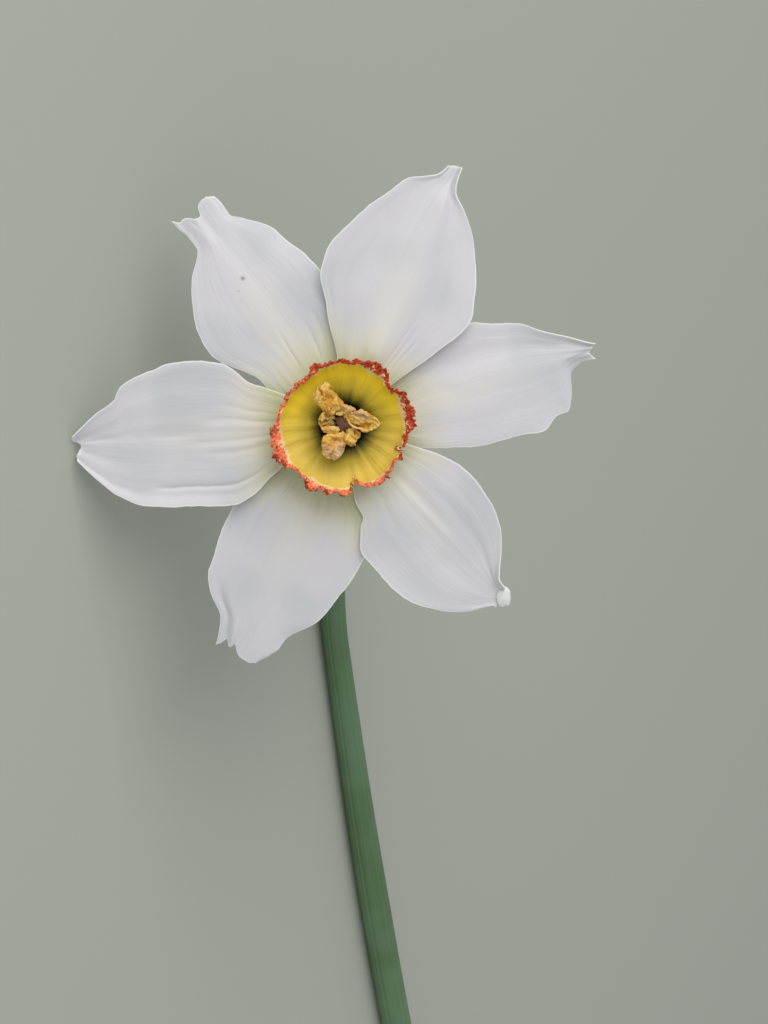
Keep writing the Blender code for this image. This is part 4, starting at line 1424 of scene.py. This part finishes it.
def tube_between(start: Vector, end: Vector, start_radius: float, end_radius: float) -> Skin:
    """A thin round stalk between two places.

    Args:
        start: its lower end.
        end: its upper end.
        start_radius: radius at the lower end.
        end_radius: radius at the upper end.

    Returns:
        The closed skin, with the value "turn" running from 0 to 1 along it.
    """
    along = (end - start).normalized()
    across = along.orthogonal().normalized()
    over = along.cross(across)
    rings, turns = [], []
    steps, around = 12, 16
    for i in range(steps + 1):
        share = i / steps
        radius = start_radius + (end_radius - start_radius) * share
        middle = start.lerp(end, share)
        angles = [2 * math.pi * k / around for k in range(around)]
        rings.append([middle + (across * math.cos(angle) + over * math.sin(angle)) * radius
                      for angle in angles])
        turns.append([share] * around)
    return lofted(rings, {"turn": turns})


@dataclass
class Stamens:
    """The six stamens, crowded round the stigma, with the crumbs and pollen they have shed."""

    pollen_size: float = 0.04
    pollen_density: float = 5.0
    crumb_size: float = 0.12
    crumb_density: float = 0.35

    def build(self) -> None:
        """Makes the anthers, their filaments, the pollen and the crumbs."""
        husks, stalks = Skin(), Skin()
        for each in HUSKS:
            husk, stalk = each.build()
            husks.add(husk)
            stalks.add(stalk)
        anthers = settle(husks.build("anthers", HEAD), ANTHER_HUSK, "tube", "floral_tube")
        settle(stalks.build("filaments", HEAD), FILAMENT, "tube")
        for name, size, density in (("pollen", self.pollen_size, self.pollen_density),
                                    ("crumbs", self.crumb_size, self.crumb_density)):
            grains = bpy.data.objects.new(name, anthers.data.copy())
            bpy.context.scene.collection.objects.link(grains)
            grains.data.materials.clear()
            settle(grown(grains, grain_tree(POLLEN.build()), {
                "Density": density / MM ** 2, "Size": size * MM}), POLLEN, "tube")


@dataclass
class Pistil:
    """The style up the middle of the tube, with its three-lobed brown stigma."""

    shift: float = 0.4
    style: Stations = ((-18.0, 0.38), (-6.0, 0.38), (2.9, 0.38), (3.4, 0.5), (3.8, 0.68), (4.2, 0.82),
                       (4.5, 0.7), (4.65, 0.35))
    rows: int = 60
    sides: int = 48

    def build(self) -> None:
        """Makes the style and stigma as one lofted skin."""
        rings, turns = [], []
        low, high = self.style[0][0], self.style[-1][0]
        for i in range(self.rows):
            height = low + (high - low) * (i / (self.rows - 1)) ** 0.35
            top = step(2.8, 3.8, height)
            ring = []
            for k in range(self.sides):
                angle = 2 * math.pi * k / self.sides
                rough = ripple(math.cos(angle) * 3, math.sin(angle) * 3, height * 3)
                rough += ripple(math.cos(angle) * 7, math.sin(angle) * 7, height * 7)
                out = smooth(self.style, height) * (1 + top * (0.3 * math.cos(3 * angle) + 0.34 * rough))
                aside = self.shift * step(-6, 3, height)
                ring.append(Vector((out * math.cos(angle), out * math.sin(angle) + aside, height)))
            rings.append(ring)
            turns.append([top] * self.sides)
        settle(lofted(rings, {"turn": turns}).build("pistil_skin", HEAD), STIGMA, "pistil", "pistil")


@dataclass
class FloralTube:
    """The long green tube behind the tepals, with the ovary at its foot."""

    outer: Stations = ((-27.5, 1.2), (-26.6, 1.7), (-25.2, 2.25), (-23.2, 2.45), (-21.4, 2.1), (-20.0, 1.6),
                       (-18.0, 1.4), (-8.0, 1.45), (-4.5, 1.75), (-2.4, 2.4), (-1.2, 3.0), (0.3, 3.1),
                       (1.3, 2.75))
    inner: Stations = ((-12.0, 0.98), (-8.0, 0.95), (-4.5, 1.15), (-1.6, 1.85), (0.2, 2.3), (1.3, 2.45))
    mouth: tuple[float, ...] = (1.3, 0.2, -1.6, -4.5, -8.0, -11.8)
    lining_top: float = 1.32
    lining_depth: float = 12.0
    lining_rows: int = 24
    lining_fit: float = 0.985
    rows: int = 120
    sides: int = 72

    def ring(self, stations: Stations, height: float) -> list[Vector]:
        """A ring of points at a height, three-lobed on the ovary and faintly six-ribbed above.

        Args:
            stations: the radius by height.
            height: the ring's height.

        Returns:
            The ring's points, in the flower's frame.
        """
        lobed = 1 - step(-22.0, -20.0, height)
        ring = []
        for k in range(self.sides):
            angle = 2 * math.pi * k / self.sides
            out = smooth(stations, height)
            out *= 1 + 0.07 * lobed * math.cos(3 * angle) + 0.02 * (1 - lobed) * math.cos(6 * angle)
            ring.append(Vector((out * math.cos(angle), out * math.sin(angle), height)))
        return ring

    def build(self) -> None:
        """Makes the outside with its ovary, and a lining just inside the throat, painted near black as the
        shade deep in the tube.
        """
        low, high = self.outer[0][0], self.outer[-1][0]
        heights = [low + (high - low) * i / (self.rows - 1) for i in range(self.rows)]
        rings = [self.ring(self.outer, height) for height in heights]
        mouth = [self.ring(self.inner, height) for height in self.mouth]
        turns = [[step(-24.0, -2.0, height)] * self.sides for height in heights]
        turns += [[1.0] * self.sides for _ in mouth]
        tube = lofted(rings + mouth, {"turn": turns})
        settle(tube.build("tube_and_ovary", HEAD), TUBE_TISSUE, "tube", "floral_tube")
        # The lining is painted shade: a near black sheet just inside the tube's own wall, darker deeper down.
        last = self.lining_rows - 1
        depths = [self.lining_top - self.lining_depth * i / last for i in range(self.lining_rows)]
        lining = [[point * self.lining_fit for point in self.ring(self.inner, depth)] for depth in depths]
        for ring, depth in zip(lining, depths):
            for point in ring:
                point.z = depth
        turns = [[step(-4.0, 1.0, depth)] * self.sides for depth in depths]
        throat = lofted(lining, {"turn": turns})
        throat.faces = [face for face in throat.faces if len(throat.points) - 2 not in face]
        settle(throat.build("throat", HEAD), THROAT_SHADE_LINING, "tube")


# ---------------------------------------------------------------- stem and bract

@dataclass
class Scape:
    """The leafless stem, lying on the table, and the bent stalk at its top."""

    half_width: Stations = ((0.0, 1.25), (3.0, 1.7), (30.0, 1.85), (80.0, 2.4), (170.0, 2.55))
    half_height: Stations = ((0.0, 1.25), (3.0, 1.6), (26.0, 1.7), (80.0, 2.1), (170.0, 2.2))
    stalk_radius: float = 1.2
    length: float = 170.0
    sway: float = 9.0
    sway_start: float = 45.0
    sway_run: float = 170.0
    lift_run: float = 26.0
    handles: tuple[float, float] = (11.0, 5.0)
    hollow_radius: float = 0.9
    hollow_depth: float = 8.0
    skin_width: float = 0.12
    stem_rings: int = 120
    stalk_rings: int = 30
    flatness: float = 0.94
    rib_height: float = 0.045

    def swept(self, back: float) -> float:
        """How far the stem has swept to the side, at a distance back from its top."""
        run = max(0.0, back - self.sway_start) / self.sway_run
        return -self.sway * (1 - math.cos(math.pi * run)) / 2

    def centre(self, back: float) -> Vector:
        """Centre of the stem at a distance back from its top.

        Args:
            back: the distance.

        Returns:
            The centre.
        """
        on_table = smooth(self.half_height, back) * math.cos(math.pi / 12)
        lift = max(0.0, 1 - back / self.lift_run)
        height = on_table + (STEM_TOP.z - on_table) * lift * lift * (3 - 2 * lift)
        return Vector((REST_POINT - back, self.swept(back) - self.swept(REST_POINT), height))

    def stalk(self, share: float) -> Vector:
        """Centre of the stalk, on a smooth bend from the stem's top to the ovary's foot.

        Args:
            share: 0 at the stem's top and 1 at the ovary's foot.

        Returns:
            The centre.
        """
        top = self.centre(0.0)
        end = top + stalk_end()
        first = top + Vector((self.handles[0], 0.0, 0.0))
        second = end - HEAD_TURNED @ Vector((0.0, 0.0, self.handles[1]))
        rest = 1 - share
        return (top * rest ** 3 + first * 3 * rest * rest * share
                + second * 3 * rest * share * share + end * share ** 3)

    def build(self) -> None:
        """Sweeps the stem along its path with a node tree, then hollows its cut end."""
        backs = [self.length * (1 - i / (self.stem_rings - 1)) for i in range(self.stem_rings)]
        centres = [self.centre(back) for back in backs]
        radii = [(smooth(self.half_width, back) + smooth(self.half_height, back)) / 2 for back in backs]
        for k in range(1, self.stalk_rings + 1):
            centres.append(self.stalk(k / self.stalk_rings))
            radii.append(self.stalk_radius)
        path = Skin(centres, [], {"radius": radii}).build("stem")
        path.data.edges.add(len(centres) - 1)
        path.data.edges.foreach_set("vertices", [k for j in range(len(centres) - 1) for k in (j, j + 1)])
        stem = grown(path, stem_tree(SCAPE_SKIN.build()), {
            "Scale": MM, "Flatness": self.flatness, "Rib Height": self.rib_height})
        self.hollow(stem)
        settle(stem, SCAPE_SKIN, "stem", "scape")

    def hollow(self, stem: bpy.types.Object) -> None:
        """Sinks a pith hollow into the cut end and marks its pale cut face.

        Args:
            stem: the swept stem.
        """
        shape = bmesh.new()
        shape.from_mesh(stem.data)
        shape.faces.ensure_lookup_table()
        ends = [face for face in shape.faces if len(face.verts) > 4]
        cap = min(ends, key=lambda face: face.calc_center_median().x)
        marks = shape.verts.layers.float.new("cut")
        wall = (smooth(self.half_height, self.length) - self.hollow_radius) * MM
        for width in (self.skin_width * MM, wall - self.skin_width * MM):
            bmesh.ops.inset_individual(shape, faces=[cap], thickness=width)
            for vertex in cap.verts:
                vertex[marks] = 1.0
        pushed = bmesh.ops.extrude_face_region(shape, geom=[cap])["geom"]
        inner = [thing for thing in pushed if isinstance(thing, bmesh.types.BMVert)]
        ahead = (self.centre(self.length - self.hollow_depth) - self.centre(self.length)) * MM
        bmesh.ops.translate(shape, verts=inner, vec=ahead)
        bmesh.ops.delete(shape, geom=[cap], context="FACES_ONLY")
        shape.to_mesh(stem.data)
        shape.free()


def stem_tree(material: bpy.types.Material) -> bpy.types.NodeTree:
    """A node tree that sweeps a ribbed section along a path and lays it flat on the table.

    Args:
        material: the stem's material.

    Returns:
        The tree, with inputs Scale, Flatness and Rib Height.
    """
    tree, given = open_tree("swept_stem", ("Scale", "Flatness", "Rib Height"))
    radius = add_node(tree, "GeometryNodeInputNamedAttribute", {"Name": "radius"}, data_type="FLOAT")
    curve = add_node(tree, "GeometryNodeMeshToCurve", {"Mesh": given["Geometry"]})
    scaled = add_node(tree, "ShaderNodeMath", {0: radius.outputs["Attribute"], 1: given["Scale"]},
                      operation="MULTIPLY")
    upright = add_node(tree, "GeometryNodeSetCurveNormal", {"Curve": curve.outputs["Curve"]}, mode="Z_UP")
    length = add_node(tree, "GeometryNodeSplineParameter")
    runs = add_node(tree, "GeometryNodeStoreNamedAttribute", {
        "Geometry": upright.outputs["Curve"], "Name": "run", "Value": length.outputs["Length"],
    }, data_type="FLOAT")
    section = add_node(tree, "GeometryNodeCurvePrimitiveCircle", {"Resolution": STEM_SIDES, "Radius": 1.0})
    turn = add_node(tree, "GeometryNodeSplineParameter")
    girths = add_node(tree, "GeometryNodeStoreNamedAttribute", {
        "Geometry": section.outputs["Curve"], "Name": "girth", "Value": turn.outputs["Factor"],
    }, data_type="FLOAT")
    angle = add_node(tree, "ShaderNodeMath", {0: turn.outputs["Factor"], 1: 2 * math.pi * STEM_RIBS},
                     operation="MULTIPLY")
    wave = add_node(tree, "ShaderNodeMath", {0: angle.outputs[0]}, operation="COSINE")
    rib = add_node(tree, "ShaderNodeMath", {0: wave.outputs[0], 1: given["Rib Height"], 2: 1.0},
                   operation="MULTIPLY_ADD")
    place = add_node(tree, "GeometryNodeInputPosition")
    ribbed = add_node(tree, "ShaderNodeVectorMath", {0: place.outputs[0], "Scale": rib.outputs[0]},
                      operation="SCALE")
    squeeze = add_node(tree, "ShaderNodeCombineXYZ", {"X": 1.0, "Y": given["Flatness"], "Z": 1.0})
    flat = add_node(tree, "ShaderNodeVectorMath", {0: ribbed.outputs["Vector"], 1: squeeze.outputs[0]},
                    operation="MULTIPLY")
    shaped = add_node(tree, "GeometryNodeSetPosition", {
        "Geometry": girths.outputs["Geometry"], "Position": flat.outputs["Vector"]})
    swept = add_node(tree, "GeometryNodeCurveToMesh", {
        "Curve": runs.outputs["Geometry"], "Profile Curve": shaped.outputs["Geometry"],
        "Scale": scaled.outputs[0], "Fill Caps": True})
    here = add_node(tree, "GeometryNodeInputPosition")
    parts = add_node(tree, "ShaderNodeSeparateXYZ", {0: here.outputs[0]})
    lifted = add_node(tree, "ShaderNodeMath", {0: parts.outputs["Z"], 1: 0.0}, operation="MAXIMUM")
    back = add_node(tree, "ShaderNodeCombineXYZ", {"X": parts.outputs["X"], "Y": parts.outputs["Y"],
                                                   "Z": lifted.outputs[0]})
    resting = add_node(tree, "GeometryNodeSetPosition", {
        "Geometry": swept.outputs["Mesh"], "Position": back.outputs[0]})
    soft = add_node(tree, "GeometryNodeSetShadeSmooth", {"Geometry": resting.outputs["Geometry"]})
    return close_tree(tree, soft.outputs["Geometry"], material)


@dataclass
class Spathe:
    """The withered bract round the foot of the stalk, split where the stalk leans out."""

    length: float = 27.5
    rise: float = 2.5
    foot: float = 0.3
    radius: Stations = ((0.0, 1.75), (0.12, 2.0), (0.45, 2.9), (0.75, 2.4), (1.0, 0.7))
    half_angle: Stations = ((0.0, 178), (0.15, 160), (0.35, 120), (0.6, 95), (0.85, 75), (1.0, 40))
    rows: int = 90
    columns: int = 60
    thickness: float = 0.3

    def build(self) -> None:
        """Makes the bract as a thin closed solid with crinkled, ragged edges."""
        along, lean, side = stalk_frame()
        split = (lean * STALK_RISE + side * STALK_SIDE * 0.5).normalized()
        aside = along.cross(split)
        shares = [i / (self.rows - 1) for i in range(self.rows)]
        places = [-1 + 2 * j / (self.columns - 1) for j in range(self.columns)]
        surface = []
        for share in shares:
            centre = STEM_TOP + along * (self.foot + self.length * share)
            centre.z += self.rise * share ** 2
            row = []
            for place in places:
                ragged = 1 + 0.07 * ripple(share * 14, place > 0, 3.0) * step(0.6, 1.0, abs(place))
                angle = math.radians(smooth(self.half_angle, share)) * place * ragged
                out = smooth(self.radius, share) + 0.16 * share * ripple(place * 6, share * 3, 9.0)
                out += 0.06 * ripple(place * 16, share * 2, 4.0)
                row.append(centre + (aside * math.sin(angle) - split * math.cos(angle)) * out)
            surface.append(row)
        values = {"along": [[share for _ in places] for share in shares],
                  "across": [places for _ in shares]}
        skin = thin_solid(surface, lambda i, j: self.thickness, False, values)
        settle(skin.build("bract"), SPATHE_PAPER, "spathe", "spathe")


# ---------------------------------------------------------------- studio

@dataclass(frozen=True)
class Lamp:
    """A soft square light that faces the flower.

    Right and up are how far it hangs to the flower's right and top for each step out along
    its axis. Its distance and its side are in metres, and its power is in watts.
    """

    name: str
    right: float
    up: float
    distance: float
    side: float
    power: float
    colour: str

    def hang(self) -> None:
        """Makes the light and turns it to the flower."""
        right, top, axis = HEAD_TURNED.col
        light = bpy.data.lights.new(self.name, "AREA")
        light.size = self.side
        light.energy = self.power
        light.color = linear(self.colour)[:3]
        made = bpy.data.objects.new(self.name, light)
        way = (axis + right * self.right + top * self.up).normalized()
        turned = way.to_track_quat("Z", "Y").to_matrix().to_4x4()
        made.matrix_world = Matrix.Translation(HEAD_ORIGIN * MM + way * self.distance) @ turned
        bpy.context.scene.collection.objects.link(made)


LAMPS = (
    Lamp("key", right=0.35, up=1.05, distance=0.9, side=0.75, power=5.6, colour="#FFFDFB"),
    Lamp("fill", right=-1.2, up=0.1, distance=1.0, side=0.9, power=3.9, colour="#F7F8FF"),
)


@dataclass
class Studio:
    """The floor, the lights and the camera, which looks down on the flower's face.

    The camera's distances are in metres. The sensor and the floor are in millimetres.
    """

    distance: float = 0.220
    view_height: float = 0.11264     # what the camera takes in from top to bottom at the flower
    flower_right: float = -0.00451   # from the middle of the view to the flower's origin
    flower_up: float = 0.00979
    tilt: float = math.radians(8)
    sensor: float = 36.0
    near: float = 0.001
    floor_half: float = 2000.0
    floor_gap: float = 0.02
    sky_colour: str = "#F6F6F8"
    sky_strength: float = 0.52

    @staticmethod
    def upright(right: Vector, back: Vector) -> Matrix:
        """A rotation whose Z is back, with its X as near to right as it can be.

        Args:
            right: roughly where its X goes.
            back: where its Z goes.

        Returns:
            The rotation.
        """
        back = back.normalized()
        right = (right - back * right.dot(back)).normalized()
        return Matrix((right, back.cross(right), back)).transposed()

    def build_camera(self) -> None:
        """Sets the camera in front of the flower, a little above its axis."""
        right, top, axis = HEAD_TURNED.col
        sight = -(axis * math.cos(self.tilt) + top * math.sin(self.tilt))
        place = HEAD_ORIGIN * MM - sight * self.distance
        spot = Vector((self.flower_right, self.flower_up, -self.distance))
        turned = self.upright(right, -sight) @ self.upright(Vector((1, 0, 0)), -spot).transposed()
        lens = bpy.data.cameras.new("camera")
        lens.sensor_fit = "VERTICAL"
        lens.sensor_height = self.sensor
        lens.lens = self.sensor * self.distance / self.view_height
        lens.clip_start = self.near
        camera = bpy.data.objects.new("camera", lens)
        camera.matrix_world = Matrix.Translation(place) @ turned.to_4x4()
        bpy.context.scene.collection.objects.link(camera)
        bpy.context.scene.camera = camera

    def build(self) -> None:
        """Makes the floor, the lights, the sky light and the camera."""
        for lamp in LAMPS:
            lamp.hang()
        world = bpy.data.worlds.new("soft_room")
        world.use_nodes = True
        sky = world.node_tree.nodes["Background"]
        sky.inputs["Color"].default_value = linear(self.sky_colour)
        sky.inputs["Strength"].default_value = self.sky_strength
        bpy.context.scene.world = world
        half = self.floor_half
        corners = ((-half, -half), (half, -half), (half, half), (-half, half))
        paper = Skin([Vector((x, y, -self.floor_gap)) for x, y in corners], [(0, 1, 2, 3)], {})
        floor = paper.build("floor")
        floor.data.materials.append(STUDIO_FLOOR.build())
        self.build_camera()
        bpy.context.scene.view_settings.view_transform = "Standard"
        bpy.context.scene.view_settings.look = "None"


def main() -> None:
    """Builds the flower piece by piece, then the studio round it."""
    noise.seed_set(NOISE_SEED)
    logging.basicConfig(level=logging.INFO, format="%(name)s: %(message)s")
    for tepal in TEPALS:
        tepal.build()
    Corona().build()
    Stamens().build()
    Pistil().build()
    FloralTube().build()
    Scape().build()
    Spathe().build()
    Studio().build()


if __name__ == "__main__":
    main()
